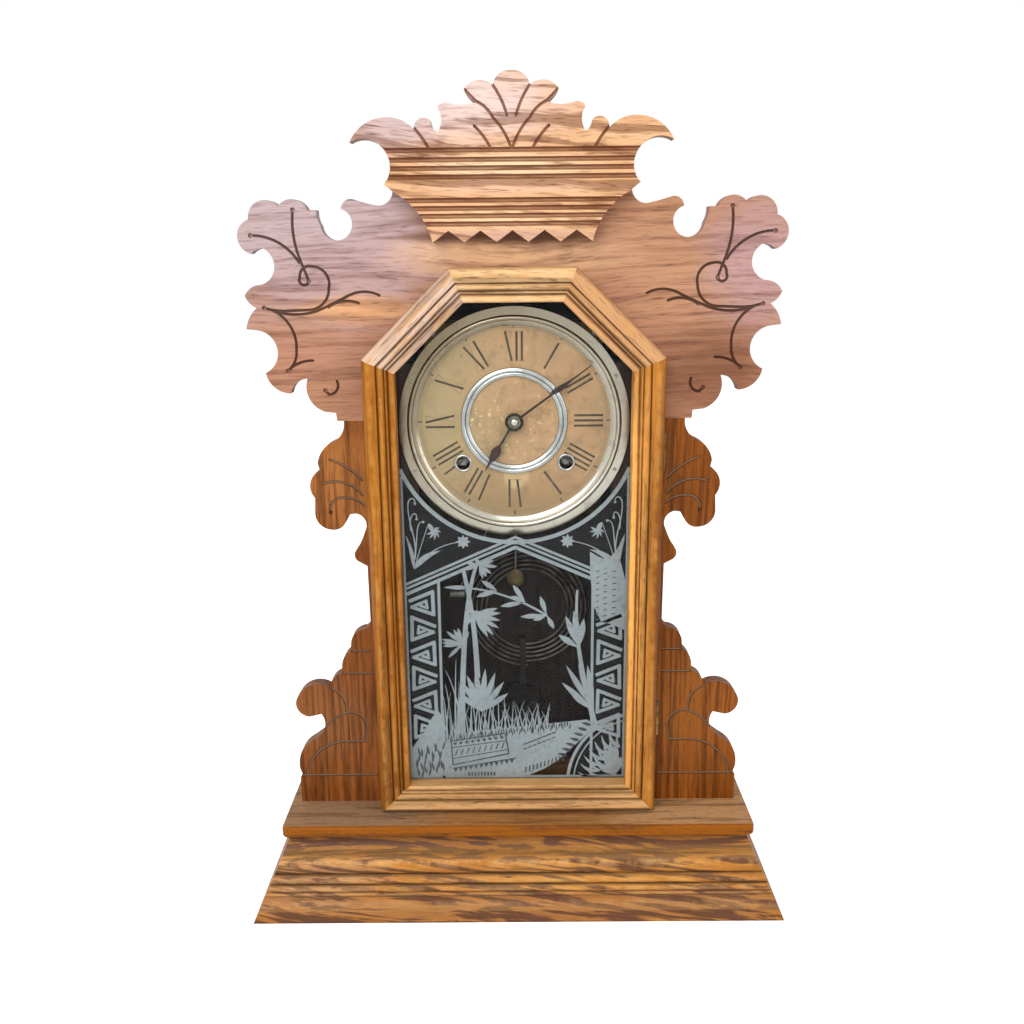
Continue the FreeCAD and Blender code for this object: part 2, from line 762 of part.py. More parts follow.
def make_door_rails():
    """Six mitred lengths of one moulding round the glass."""
    names = ("door_stile_left", "door_diagonal_left", "door_rail_top",
             "door_diagonal_right", "door_stile_right", "door_rail_bottom")
    outer = octagon_corners(0)
    wide = octagon_corners(-overrun)
    narrow = octagon_corners(moulding_width + overrun)
    for index, name in enumerate(names):
        following = (index + 1) % len(outer)
        start = vec(outer[index][0], door_back, outer[index][1])
        end = vec(outer[following][0], door_back, outer[following][1])
        along = (end - start).normalize()
        inward = vec(0, 1, 0).cross(along)
        start = start - along * overrun

        def at(across, up, start=start, inward=inward):
            return start + inward * (moulding_width * across) - vec(0, door_thickness * up, 0)

        edges = path_edges(door_moulding_shares, at)
        rebate = [edges[-1].Vertexes[-1].Point, at(1, rebate_depth / door_thickness),
                  at(1 - rebate_width / moulding_width, rebate_depth / door_thickness),
                  at(1 - rebate_width / moulding_width, 0), at(0, 0)]
        edges += [Part.LineSegment(a, b).toShape() for a, b in zip(rebate, rebate[1:])]
        length = (end - start).Length + 2 * overrun
        rail = face_from(edges).extrude(along * length)
        quad = [wide[index], wide[following], narrow[following], narrow[index]]
        mitre = polygon_face([vec(x, door_front - overrun, z) for x, z in quad])
        rail = rail.common(deep(mitre, door_thickness + 2 * overrun))
        if name == "door_stile_right":
            rail = rail.cut(door_leaf_room())
        export(name, rail)


def door_leaf_room():
    """Room for the two hinge leaves in the back of the right stile."""
    rooms = [block(door_half - leaf_width, door_half + overrun, door_back - leaf_thickness,
                   door_back + overrun, z0, z0 + hinge_length) for z0 in hinge_heights()]
    return rooms[0].fuse(rooms[1])


def octagon_face(inset, y):
    """A flat face inside the door's outline."""
    return polygon_face([vec(x, y, z) for x, z in octagon_corners(inset)])


def make_door_glass():
    """Glass tablet in the rebate and the putty that holds it."""
    rebate_inset = moulding_width - rebate_width
    glass_front = door_back - rebate_depth
    glass = deep(octagon_face(rebate_inset + glass_edge_gap, glass_front), glass_thickness)
    export("door_glass", glass)
    putty_front = glass_front + glass_thickness
    ring = deep(octagon_face(rebate_inset + fit_gap / 2, putty_front), putty_thickness)
    hole = octagon_face(rebate_inset + putty_width, putty_front - overrun)
    export("glazing_putty", ring.cut(deep(hole, putty_thickness + 2 * overrun)))


def hinge_screws(z0):
    """Two small screws through the case leaf of the hinge that starts at z0."""
    middle = z0 + hinge_length / 2
    x = door_half - leaf_width / 2
    seat = frame_front + leaf_thickness
    return [rod_y(screw_shank_radius, x, z, seat - leaf_thickness, seat + screw_length)
            for z in (middle - hinge_screw_spread, middle + hinge_screw_spread)]


def make_hinges():
    """Two butt hinges: a leaf let into the side board, a leaf let into the door, and a pin."""
    third = hinge_length / 3
    case_leaves, door_leaves, pins, screws = [], [], [], []
    bore = hinge_pin_radius + running_gap
    for z0 in hinge_heights():
        z1 = z0 + hinge_length
        leaf = block(door_half - leaf_width + leaf_edge_gap, hinge_x, frame_front,
                     frame_front + leaf_thickness, z0 + leaf_edge_gap, z1 - leaf_edge_gap)
        for low, high in ((z0 + leaf_edge_gap, z0 + third), (z1 - third, z1 - leaf_edge_gap)):
            web = block(hinge_x - leaf_thickness, hinge_x, hinge_y,
                        frame_front + leaf_thickness, low, high)
            leaf = leaf.fuse(web).fuse(rod_z(knuckle_radius, hinge_x, hinge_y, low, high))
        leaf = leaf.cut(rod_z(bore, hinge_x, hinge_y, z0 - overrun, z1 + overrun))
        for screw in hinge_screws(z0):
            leaf = leaf.cut(screw)
        screws += hinge_screws(z0)
        case_leaves.append(leaf.removeSplitter())
        low, high = z0 + third + knuckle_gap, z1 - third - knuckle_gap
        leaf = block(door_half - leaf_width + leaf_edge_gap, door_half,
                     door_back - leaf_thickness, door_back,
                     z0 + leaf_edge_gap, z1 - leaf_edge_gap)
        leaf = leaf.fuse(block(door_half - leaf_edge_gap, hinge_x,
                               door_back - leaf_thickness, door_back, low, high))
        leaf = leaf.fuse(rod_z(knuckle_radius, hinge_x, hinge_y, low, high))
        leaf = leaf.cut(rod_z(bore, hinge_x, hinge_y, z0 - overrun, z1 + overrun))
        door_leaves.append(leaf.removeSplitter())
        pin = rod_z(hinge_pin_radius, hinge_x, hinge_y, z0, z1)
        pin = pin.fuse(rod_z(pin_head_radius, hinge_x, hinge_y, z1, z1 + pin_head_height))
        pins.append(pin.removeSplitter())
    export("hinge_case_leaves", *case_leaves)
    export("hinge_door_leaves", *door_leaves)
    export("hinge_pins", *pins)
    return screws


def make_catch():
    """A small sprung catch plate, let into the left side board, with a round nib."""
    z0 = deck_top + catch_height
    x1 = -case_half - catch_inset
    plate = block(x1 - catch_width + fit_gap, x1 - fit_gap, frame_front,
                  frame_front + leaf_thickness, z0 + fit_gap, z0 + catch_length - fit_gap)
    centre = vec(x1 - catch_width / 2, frame_front + catch_nib_radius - catch_nib_proud,
                 z0 + catch_length / 2)
    nib = Part.makeSphere(catch_nib_radius, centre)
    nib = nib.common(block(-door_half, 0, frame_front - overrun, frame_front + leaf_thickness,
                           z0, z0 + catch_length))
    export("door_catch", plate.fuse(nib).removeSplitter())


# Dial


def winding_places():
    """The two winding arbors: strike on the left, time on the right."""
    return [(-winding_spread, dial_z - winding_drop), (winding_spread, dial_z - winding_drop)]


def dial_tacks():
    """Four tacks round the bezel, into the front battens."""
    tacks = []
    seat = dial_face - bezel_height * bezel_shares[1][1]
    for quarter in (tack_angle_deg, 180 - tack_angle_deg, 180 + tack_angle_deg, -tack_angle_deg):
        x = tack_circle * math.cos(math.radians(quarter))
        z = bezel_z + tack_circle * math.sin(math.radians(quarter))
        tack = rod_y(tack_head_radius, x, z, seat - tack_head_height, seat)
        tack = tack.fuse(rod_y(tack_shank_radius, x, z, seat, seat + tack_length))
        tacks.append(tack.removeSplitter())
    return tacks


def turned(shares, inner, outer, seat, rise, x, z):
    """A ring turned about an axis along the depth, from shares of its width and its rise."""
    edges = path_edges(shares, lambda across, up: vec(x + inner + (outer - inner) * across,
                                                      seat + rise * up, z))
    return face_from(edges).revolve(vec(x, 0, z), vec(0, 1, 0), 360)


def make_dial():
    """Paper on its pan, nickel bezel and inner ring, two grommets and four tacks."""
    tacks = dial_tacks()
    pan_radius = bezel_radius - pan_inset
    centre_hole = rod_y(dial_centre_hole, 0, dial_z, dial_face - overrun, pan_back + overrun)
    paper = rod_y(pan_radius, 0, bezel_z, dial_face, pan_front).cut(centre_hole)
    pan = rod_y(pan_radius, 0, bezel_z, pan_front, pan_back).cut(centre_hole)
    grommets = []
    lip = (grommet_outer - grommet_inner) * grommet_shares[-1][0]
    for x, z in winding_places():
        hole = rod_y(grommet_inner + lip, x, z, dial_face - overrun, pan_back + overrun)
        paper = paper.cut(hole)
        pan = pan.cut(hole)
        grommets.append(turned(grommet_shares, grommet_inner, grommet_outer, dial_face,
                               -grommet_height, x, z))
    for tack in tacks:
        paper = paper.cut(tack)
        pan = pan.cut(tack)
    export("dial_paper", paper)
    export("dial_pan", pan)
    export("winding_grommets", *grommets)
    export("dial_tacks", *tacks)
    bezel = turned(bezel_shares, bezel_inner, bezel_radius, dial_face, -bezel_height, 0, bezel_z)
    for tack in tacks:
        bezel = bezel.cut(tack)
    export("dial_bezel", bezel)
    export("dial_inner_ring", turned(ring_shares, ring_inner, ring_outer, dial_face,
                                     -ring_height, 0, dial_z))


# Gear forms


def mesh_distance(teeth, leaves, module):
    """Distance between the centres of a wheel and the pinion it turns."""
    return (teeth + leaves) * module / 2


def bearing(origin, target):
    """Angle of the line from one place to another, in the front view."""
    return math.atan2(target[1] - origin[1], target[0] - origin[0])


def off(origin, distance, degrees):
    """A place at a distance and angle from another, in the front view."""
    angle = math.radians(degrees)
    return origin[0] + distance * math.cos(angle), origin[1] + distance * math.sin(angle)


def gear(place, teeth, module, form, tooth_angle, y0, thickness):
    """A toothed disc with straight-sided teeth, one of them pointing along tooth_angle."""
    points = []
    radius = teeth * module / 2
    for tooth in range(teeth):
        middle = tooth_angle + 2 * math.pi * tooth / teeth
        rows = [(up, half) for up, half in form] + [(up, -half) for up, half in reversed(form)]
        for up, half in rows:
            reach = radius + up * module
            angle = middle - half * module / reach
            points.append(vec(place[0] + reach * math.cos(angle), y0,
                              place[1] + reach * math.sin(angle)))
    return deep(polygon_face(points), thickness)


def crossed(wheel, place, root_radius, y0, thickness):
    """Cut the windows between the spokes of a wheel."""
    outer, inner = root_radius - rim_width, hub_radius + rim_width / 2
    windows = tube_y(outer, inner, place[0], place[1], y0 - overrun, y0 + thickness + overrun)
    for index in range(spoke_count):
        spoke = block(0, root_radius, -overrun - thickness, overrun + thickness,
                      -spoke_width / 2, spoke_width / 2)
        spoke.rotate(vec(0, 0, 0), vec(0, 1, 0), 360 * index / spoke_count)
        spoke.translate(vec(place[0], y0, place[1]))
        windows = windows.cut(spoke)
    return wheel.cut(windows)


def wheel(place, teeth, module, tooth_angle, y0, thickness):
    """A crossed-out brass wheel."""
    disc = gear(place, teeth, module, lantern_tooth_shares, tooth_angle, y0, thickness)
    root_radius = teeth * module / 2 + lantern_tooth_shares[0][0] * module
    return crossed(disc, place, root_radius, y0, thickness)


def lantern(place, leaves, module, gap_angle, wheel_y0, wheel_thickness_here):
    """A lantern pinion: two shrouds and their wires, with a gap pointing along gap_angle."""
    radius = leaves * module / 2
    wire = trundle_share * module
    shroud = radius + wire + shroud_margin
    front0 = wheel_y0 - pinion_side_gap - shroud_thickness
    back0 = wheel_y0 + wheel_thickness_here + pinion_side_gap
    pinion = rod_y(shroud, place[0], place[1], front0, front0 + shroud_thickness)
    pinion = pinion.fuse(rod_y(shroud, place[0], place[1], back0, back0 + shroud_thickness))
    for leaf in range(leaves):
        angle = gap_angle + math.pi * (2 * leaf + 1) / leaves
        x = place[0] + radius * math.cos(angle)
        z = place[1] + radius * math.sin(angle)
        pinion = pinion.fuse(rod_y(wire, x, z, front0 + shroud_thickness / 2,
                                   back0 + shroud_thickness / 2))
    return pinion


def arbor(place, radius=arbor_radius):
    """A steel arbor between the plates with a thinner pivot at each end."""
    body = rod_y(radius, place[0], place[1], plate_front_back + pivot_end_gap,
                 plate_rear_front - pivot_end_gap)
    pivot = rod_y(pivot_radius, place[0], place[1], plate_front_front + pivot_end_gap,
                  plate_rear_back - pivot_end_gap)
    return body.fuse(pivot)


def at_level(level):
    """Depth of a level between the plates."""
    return plate_front_back + level


def places():
    """Centres of every arbor in the movement, in the front view."""
    strike, time = winding_places()
    centre = (0, dial_z)
    first = mesh_distance(great_teeth, second_pinion_leaves, great_module)
    second = mesh_distance(second_teeth, centre_pinion_leaves, second_module)
    between = math.hypot(time[0] - centre[0], time[1] - centre[1])
    along = (second ** 2 - first ** 2 + between ** 2) / (2 * between)
    aside = math.sqrt(second ** 2 - along ** 2)
    ux, uz = (time[0] - centre[0]) / between, (time[1] - centre[1]) / between
    second_place = (centre[0] + along * ux - aside * uz, centre[1] + along * uz + aside * ux)
    fine = mesh_distance(centre_teeth, small_pinion_leaves, fine_module)
    third = (centre[0], centre[1] + fine)
    drop = mesh_distance(third_teeth, small_pinion_leaves, fine_module)
    escape = (centre[0] + escape_offset, third[1] + math.sqrt(drop ** 2 - escape_offset ** 2))
    verge = (centre[0], escape[1] + math.sqrt(verge_reach ** 2 - escape_offset ** 2))
    motion = mesh_distance(minute_wheel_teeth, cannon_teeth, cannon_module)
    minute = (centre[0], centre[1] - motion)
    strike_second = off(strike, first, strike_second_deg)
    strike_third = off(strike_second, mesh_distance(strike_second_teeth, small_pinion_leaves,
                                                    second_module), strike_third_deg)
    warning = off(strike_third, mesh_distance(strike_third_teeth, small_pinion_leaves,
                                              strike_third_module), warning_deg)
    fly = off(warning, mesh_distance(warning_teeth, small_pinion_leaves, fine_module), fly_deg)
    return {"strike_great": strike, "time_great": time, "centre": centre,
            "second": second_place, "third": third, "escape": escape, "verge": verge,
            "minute_wheel": minute, "strike_second": strike_second,
            "strike_third": strike_third, "warning": warning, "fly": fly,
            "hammer": (hammer_x, dial_z + hammer_z)}


spot = places()


# Movement frame


def movement_screws():
    """Four screws through the back plate into the rear battens."""
    screws = []
    for side_sign in (-1, 1):
        for z in (dial_z + screw_high, dial_z - screw_low):
            screws.append(screw_y(side_sign * screw_side, z, plate_rear_front, 1))
    return screws


def pillar_places():
    """Four pillars near the corners of the plates."""
    return [(side_sign * x, dial_z + z) for side_sign in (-1, 1)
            for x, z in ((pillar_side, pillar_high), (pillar_low_side, -pillar_low))]


def plate_blank(y0):
    """A plate with rounded corners, tall windows and holes for the pillar tenons."""
    plate = block(-plate_half, plate_half, y0, y0 + plate_thickness,
                  dial_z - plate_down, dial_z + plate_up)
    corners = [e for e in plate.Edges if abs(abs(e.CenterOfMass.x) - plate_half) < fit_gap
               and abs(e.CenterOfMass.y - y0 - plate_thickness / 2) < fit_gap]
    plate = plate.makeFillet(plate_corner_radius, corners)
    for x, z in pillar_places():
        plate = plate.cut(rod_y(pillar_tenon_radius + running_gap, x, z, y0 - overrun,
                                y0 + overrun))
    for left, right, low, high in plate_window_shares:
        window = block(left * plate_half, right * plate_half, y0 - overrun, y0 + overrun,
                       dial_z + low * plate_half, dial_z + high * plate_half)
        corners = [e for e in window.Edges if abs(e.CenterOfMass.y - y0) < fit_gap]
        plate = plate.cut(window.makeFillet(plate_window_radius, corners))
    return plate


def make_plates():
    """Front plate with the motion-work stud, back plate, pillars and screws."""
    hole = pivot_radius + running_gap
    front = plate_blank(plate_front_front)
    rear = plate_blank(plate_rear_front)
    for name in ("second", "third", "escape", "strike_second", "strike_third", "warning",
                 "fly", "hammer", "verge"):
        x, z = spot[name]
        front = front.cut(rod_y(hole, x, z, frame_front, back_face))
    for name in ("centre", "second", "third", "escape", "strike_second", "strike_third",
                 "warning", "fly", "hammer"):
        x, z = spot[name]
        rear = rear.cut(rod_y(hole, x, z, plate_rear_front - overrun, back_face))
    for name in ("strike_great", "time_great"):
        x, z = spot[name]
        front = front.cut(rod_y(winding_arbor_radius + running_gap, x, z, frame_front, back_face))
        rear = rear.cut(rod_y(hole, x, z, plate_rear_front - overrun, back_face))
    x, z = spot["centre"]
    front = front.cut(rod_y(cannon_radius + running_gap, x, z, frame_front, back_face))
    x, z = spot["verge"]
    rear = rear.cut(rod_y(arbor_radius + running_gap, x, z, plate_rear_front - overrun,
                          back_face))
    x, z = spot["minute_wheel"]
    stud_front = plate_front_front - motion_gap - cannon_face - hour_wheel_gap \
        - hour_wheel_thickness - motion_gap
    front = front.fuse(rod_y(stud_radius, x, z, stud_front, plate_front_front))
    export("front_plate", front)
    for screw in movement_screws():
        rear = rear.cut(screw)
    post_z = spot["centre"][1] + suspension_rise + suspension_post_gap + suspension_post_radius
    rear = rear.fuse(rod_y(suspension_post_radius, 0, post_z, plate_rear_back,
                           pendulum_y + suspension_strip_half + suspension_post_gap))
    export("back_plate", rear)
    pillars = []
    for x, z in pillar_places():
        pillar = rod_y(pillar_radius, x, z, plate_front_back, plate_rear_front)
        tenon = rod_y(pillar_tenon_radius, x, z, plate_front_front - pillar_tenon_end,
                      plate_rear_back + pillar_tenon_end)
        pillars.append(pillar.fuse(tenon).removeSplitter())
    export("plate_pillars", *pillars)


# Time train


def make_great(name, place, mate):
    """A great wheel with its riveted click, and the winding arbor with its ratchet."""
    y0 = at_level(great_level)
    disc = wheel(place, great_teeth, great_module, bearing(place, mate), y0, great_thickness)
    disc = disc.cut(rod_y(winding_arbor_radius + running_gap, place[0], place[1],
                          frame_front, back_face))
    click_y = at_level(ratchet_level)
    tip = ratchet_radius + click_clearance
    start = vec(place[0] - click_circle * math.sin(math.radians(click_deg)), click_y,
                place[1] - click_circle * math.cos(math.radians(click_deg)))
    nose = vec(place[0], click_y, place[1] - tip - click_half)
    along = (nose - start).normalize()
    across = along.cross(vec(0, 1, 0)) * click_half
    click = polygon_face([start + across, nose + across, nose - across, start - across])
    click = deep(click, ratchet_thickness)
    click = click.fuse(rod_y(click_half + click_rivet_radius / 2, start.x, start.z, click_y,
                             click_y + ratchet_thickness))
    rivet = rod_y(click_rivet_radius, start.x, start.z, y0, click_y + ratchet_thickness)
    ring = tube_y(click_circle + rim_width, click_circle - rim_width, place[0], place[1], y0,
                  y0 + great_thickness)
    ring = ring.common(rod_y(rim_width + click_half, start.x, start.z, y0, y0 + great_thickness))
    export(name + "_great_wheel", disc.fuse(ring).fuse(rivet).fuse(click).removeSplitter())

    x, z = place
    body = rod_y(winding_arbor_radius, x, z, plate_front_front - winding_square_room,
                 plate_rear_front - pivot_end_gap)
    body = body.fuse(rod_y(pivot_radius, x, z, plate_rear_front - pivot_end_gap,
                           plate_rear_back - pivot_end_gap))
    half = winding_square / 2
    body = body.fuse(block(x - half, x + half, dial_face + winding_tip_gap,
                           plate_front_front, z - half, z + half))
    ratchet = ratchet_disc(place, click_y)
    export(name + "_winding_arbor", body.fuse(ratchet).removeSplitter())


def ratchet_disc(place, y0):
    """A saw-toothed ratchet wheel on a winding arbor; it is wound anticlockwise."""
    points = []
    for tooth in range(ratchet_teeth):
        for share, reach in ((0, ratchet_radius), (ratchet_fall_share,
                                                   ratchet_radius - ratchet_tooth_height)):
            angle = -2 * math.pi * (tooth + share) / ratchet_teeth - math.pi / 2
            points.append(vec(place[0] + reach * math.cos(angle), y0,
                              place[1] + reach * math.sin(angle)))
    return deep(polygon_face(points), ratchet_thickness)


def mainspring(place, pillar, end_deg):
    """A flat spring wound in half-turn arcs, its outer eye round a pillar."""
    y0 = at_level(spring_level)
    step = (spring_outer - spring_inner) / (spring_half_turns - 1)
    centre = vec(place[0], y0, place[1])
    ahead = vec(math.cos(math.radians(end_deg)), 0, math.sin(math.radians(end_deg)))
    aside = vec(-ahead.z, 0, ahead.x)
    half = spring_thickness / 2
    sides = []
    for offset in (-half, half):
        edges = []
        for turn in range(spring_half_turns):
            radius = spring_inner + step * turn + offset
            middle = centre + ahead * (step if turn % 2 else 0)
            forward = 1 if turn % 2 else -1
            start = middle - ahead * (forward * radius)
            bulge = middle + aside * (forward * radius)
            edges.append(Part.Arc(start, bulge, middle + ahead * (forward * radius)).toShape())
        sides.append(edges)
    inner, outer = sides
    caps = [Part.LineSegment(inner[0].valueAt(inner[0].FirstParameter),
                             outer[0].valueAt(outer[0].FirstParameter)).toShape(),
            Part.LineSegment(inner[-1].valueAt(inner[-1].LastParameter),
                             outer[-1].valueAt(outer[-1].LastParameter)).toShape()]
    wire = Part.Wire(Part.sortEdges(inner + outer + caps)[0])
    ribbon = deep(Part.Face(wire), spring_width)
    end = centre + ahead * (step + spring_outer)
    eye_outer = pillar_radius + spring_eye_gap + spring_eye_wall
    target = vec(pillar[0], y0, pillar[1])
    along = (target - end).normalize()
    across = along.cross(vec(0, 1, 0)) * half
    stop = target - along * (pillar_radius + spring_eye_gap + half)
    start = end - along * half
    tail = polygon_face([start + across, stop + across, stop - across, start - across])
    ribbon = ribbon.fuse(deep(tail, spring_width))
    eye = tube_y(eye_outer, pillar_radius + spring_eye_gap, pillar[0], pillar[1], y0,
                 y0 + spring_width)
    return ribbon.fuse(eye)


def make_time_train():
    """Second, centre, third and escape arbors of the time side."""
    second, centre, third, escape = (spot[n] for n in ("second", "centre", "third", "escape"))
    shape = arbor(second)
    shape = shape.fuse(lantern(second, second_pinion_leaves, great_module,
                               bearing(second, spot["time_great"]), at_level(great_level),
                               great_thickness))
    shape = shape.fuse(wheel(second, second_teeth, second_module, bearing(second, centre),
                             at_level(rear_wheel_level), wheel_thickness))
    export("second_wheel", shape)

    shape = arbor(centre)
    shape = shape.fuse(lantern(centre, centre_pinion_leaves, second_module,
                               bearing(centre, second), at_level(rear_wheel_level),
                               wheel_thickness))
    shape = shape.fuse(wheel(centre, centre_teeth, fine_module, bearing(centre, third),
                             at_level(front_wheel_level), wheel_thickness))
    x, z = centre
    post_front = dial_face - minute_hand_back
    shape = shape.fuse(rod_y(cannon_radius, x, z, post_front, plate_front_back + pivot_end_gap))
    shape = shape.fuse(rod_y(post_radius, x, z, post_front - post_length, post_front))
    cannon_y = plate_front_front - motion_gap - cannon_face
    shape = shape.fuse(gear(centre, cannon_teeth, cannon_module, cut_tooth_shares,
                            bearing(centre, spot["minute_wheel"]) + math.pi / cannon_teeth,
                            cannon_y, cannon_face))
    export("centre_arbor", shape)

    shape = arbor(third)
    shape = shape.fuse(lantern(third, small_pinion_leaves, fine_module, bearing(third, centre),
                               at_level(front_wheel_level), wheel_thickness))
    shape = shape.fuse(wheel(third, third_teeth, fine_module, bearing(third, escape),
                             at_level(third_level), wheel_thickness))
    export("third_wheel", shape)

    shape = arbor(escape)
    shape = shape.fuse(lantern(escape, small_pinion_leaves, fine_module, bearing(escape, third),
                               at_level(third_level), wheel_thickness))
    shape = shape.fuse(escape_disc())
    export("escape_wheel", shape)


def escape_disc():
    """The escape wheel: sharp raked teeth on a thin crossed disc."""
    place = spot["escape"]
    y0 = at_level(escape_level)
    points = []
    for tooth in range(escape_teeth):
        for share, fall in escape_tooth_shares:
            reach = escape_radius - escape_tooth_height * fall
            angle = 2 * math.pi * (tooth + share) / escape_teeth
            points.append(vec(place[0] + reach * math.cos(angle), y0,
                              place[1] + reach * math.sin(angle)))
    disc = deep(polygon_face(points), wheel_thickness)
    return crossed(disc, place, escape_radius - escape_tooth_height, y0, wheel_thickness)


def make_motion_work():
    """Minute wheel on its stud, and the hour wheel on its pipe."""
    minute, centre = spot["minute_wheel"], spot["centre"]
    cannon_y = plate_front_front - motion_gap - cannon_face
    hour_y = cannon_y - hour_wheel_gap - hour_wheel_thickness
    shape = gear(minute, minute_wheel_teeth, cannon_module, cut_tooth_shares,
                 bearing(minute, centre), cannon_y, cannon_face)
    root = minute_wheel_teeth * cannon_module / 2 + cut_tooth_shares[0][0] * cannon_module
    shape = crossed(shape, minute, root, cannon_y, cannon_face)
    shape = shape.fuse(gear(minute, minute_pinion_teeth, hour_module, cut_tooth_shares,
                            bearing(minute, centre) + math.pi / minute_pinion_teeth, hour_y
                            - motion_gap / 2, cannon_y - hour_y + motion_gap / 2))
    shape = shape.cut(rod_y(stud_radius + running_gap, minute[0], minute[1], frame_front,
                            back_face))
    export("minute_wheel", shape.removeSplitter())

    shape = gear(centre, hour_wheel_teeth, hour_module, cut_tooth_shares,
                 bearing(centre, minute), hour_y, hour_wheel_thickness)
    root = hour_wheel_teeth * hour_module / 2 + cut_tooth_shares[0][0] * hour_module
    shape = crossed(shape, centre, root, hour_y, hour_wheel_thickness)
    pipe_outer = cannon_radius + running_gap + pipe_wall
    pipe_front = dial_face - hour_hand_back - hand_thickness
    shape = shape.fuse(rod_y(pipe_outer, centre[0], centre[1], pipe_front,
                             hour_y + hour_wheel_thickness))
    shape = shape.cut(rod_y(cannon_radius + running_gap, centre[0], centre[1],
                            dial_face - overrun, back_face))
    export("hour_wheel", shape.removeSplitter())


# Hands


def make_hand(name, length, shares, degrees, y_back, bore, hub):
    """A flat hand with a slim stem, a leaf-shaped swelling and a long point."""
    y0 = y_back - hand_thickness
    points = [(0, hand_stem_half * hand_root_share),
              (length * shares[0][0] * hand_stem_share, hand_stem_half)]
    points += [(length * along, hand_leaf_half * beside) for along, beside in shares]
    angle = math.radians(degrees)
    ux, uz = math.sin(angle), math.cos(angle)
    outline = []
    for side_sign, row in ((1, points), (-1, reversed(points))):
        for along, beside in row:
            outline.append(vec(along * ux + side_sign * beside * uz, y0,
                               dial_z + along * uz - side_sign * beside * ux))
    hand = deep(polygon_face(outline), hand_thickness)
    hand = hand.fuse(rod_y(hub, 0, dial_z, y0, y_back))
    hand = hand.cut(rod_y(bore, 0, dial_z, y0 - overrun, y_back + overrun))
    export(name, hand.removeSplitter())


def make_hands():
    """Hour and minute hands, the dark collet and the domed nut."""
    pipe_outer = cannon_radius + running_gap + pipe_wall
    make_hand("hour_hand", hour_hand_length, hour_hand_shares, hour_hand_deg,
              dial_face - hour_hand_back, pipe_outer, hour_hand_hub)
    make_hand("minute_hand", minute_hand_length, minute_hand_shares, minute_hand_deg,
              dial_face - minute_hand_back, post_radius, minute_hand_hub)
    seat = dial_face - minute_hand_back - hand_thickness
    collet = tube_y(collet_radius, post_radius, 0, dial_z, seat - collet_thickness, seat)
    nut_back = seat - collet_thickness
    nut = turned(nut_shares, 0, nut_radius, nut_back, -nut_height, 0, dial_z)
    nut = nut.cut(rod_y(post_radius, 0, dial_z, nut_back - overrun, nut_back + overrun)
                  .common(rod_y(nut_radius, 0, dial_z, nut_back - nut_bore_depth, nut_back)))
    export("hand_nut", collet, nut)


# Escapement and pendulum


def make_verge():
    """Verge: a strip with two pallets on its arbor, and the crutch behind the back plate."""
    place = spot["verge"]
    escape = spot["escape"]
    y0 = at_level(escape_level) + (wheel_thickness - verge_thickness) / 2
    x, z = place
    shape = arbor(place)
    hub = rod_y(verge_hub_radius, x, z, y0, y0 + verge_thickness)
    shape = shape.fuse(hub)
    facing = bearing(escape, place)
    spread = math.acos(escape_radius / verge_reach)
    reach = escape_radius + pallet_clearance + pallet_lift() + verge_arm_half
    for side_sign in (-1, 1):
        angle = facing + side_sign * spread
        tip = vec(escape[0] + reach * math.cos(angle), y0, escape[1] + reach * math.sin(angle))
        hub_point = vec(x, y0, z)
        along = (tip - hub_point).normalize()
        across = along.cross(vec(0, 1, 0)) * verge_arm_half
        arm = polygon_face([hub_point + across, tip + across, tip - across, hub_point - across])
        shape = shape.fuse(deep(arm, verge_thickness))
    crutch_y = pendulum_y - pendulum_rod_radius - crutch_gap - crutch_thickness
    shape = shape.fuse(rod_y(arbor_radius, x, z, plate_rear_front - pivot_end_gap,
                             crutch_y + crutch_thickness))
    low = z - crutch_length
    shape = shape.fuse(block(x - crutch_half, x + crutch_half, crutch_y,
                             crutch_y + crutch_thickness, low, z))
    inner = pendulum_rod_radius + prong_gap
    shape = shape.fuse(block(x - inner - crutch_thickness, x + inner + crutch_thickness,
                             crutch_y, crutch_y + crutch_thickness, low - crutch_half,
                             low + crutch_half))
    for side_sign in (-1, 1):
        x0 = min(side_sign * inner, side_sign * (inner + crutch_thickness))
        shape = shape.fuse(block(x + x0, x + x0 + crutch_thickness, crutch_y,
                                 crutch_y + crutch_thickness + crutch_prong + crutch_gap,
                                 low - crutch_half / 2, low + crutch_half / 2))
    export("verge", shape.removeSplitter())


def pallet_lift():
    """How far a pallet moves toward the escape wheel over the pendulum's swing."""
    arm = math.sqrt(verge_reach ** 2 - escape_radius ** 2)
    return arm * math.sin(math.radians(pendulum_swing_deg * crutch_ratio()))


def crutch_ratio():
    """Verge turn per pendulum turn, from their distances to the crutch's prongs."""
    drop = spot["centre"][1] + suspension_rise - spot["verge"][1]
    return (crutch_length + drop) / crutch_length


def make_pendulum():
    """Suspension strip and rod, and the small round bob with its rating nut."""
    top = spot["centre"][1] + suspension_rise
    strip = block(-suspension_strip / 2, suspension_strip / 2,
                  pendulum_y - suspension_strip_half, pendulum_y + suspension_strip_half,
                  top - suspension_strip_length, top)
    bob_z = top - pendulum_length
    low = bob_z - bob_radius - rating_nut_height
    rod = rod_z(pendulum_rod_radius, 0, pendulum_y, low, top - suspension_strip_length
                + suspension_strip_half)
    export("pendulum_rod", strip.fuse(rod).removeSplitter())
    bob = turned(bob_shares, 0, bob_radius, pendulum_y - bob_thickness / 2, bob_thickness,
                 0, bob_z)
    hole = rod_z(pendulum_rod_radius, 0, pendulum_y, low - overrun, top)
    nut = rod_z(rating_nut_radius, 0, pendulum_y, low + fit_gap, low + rating_nut_height)
    export("pendulum_bob", bob.cut(hole), nut.cut(hole))


# Strike train


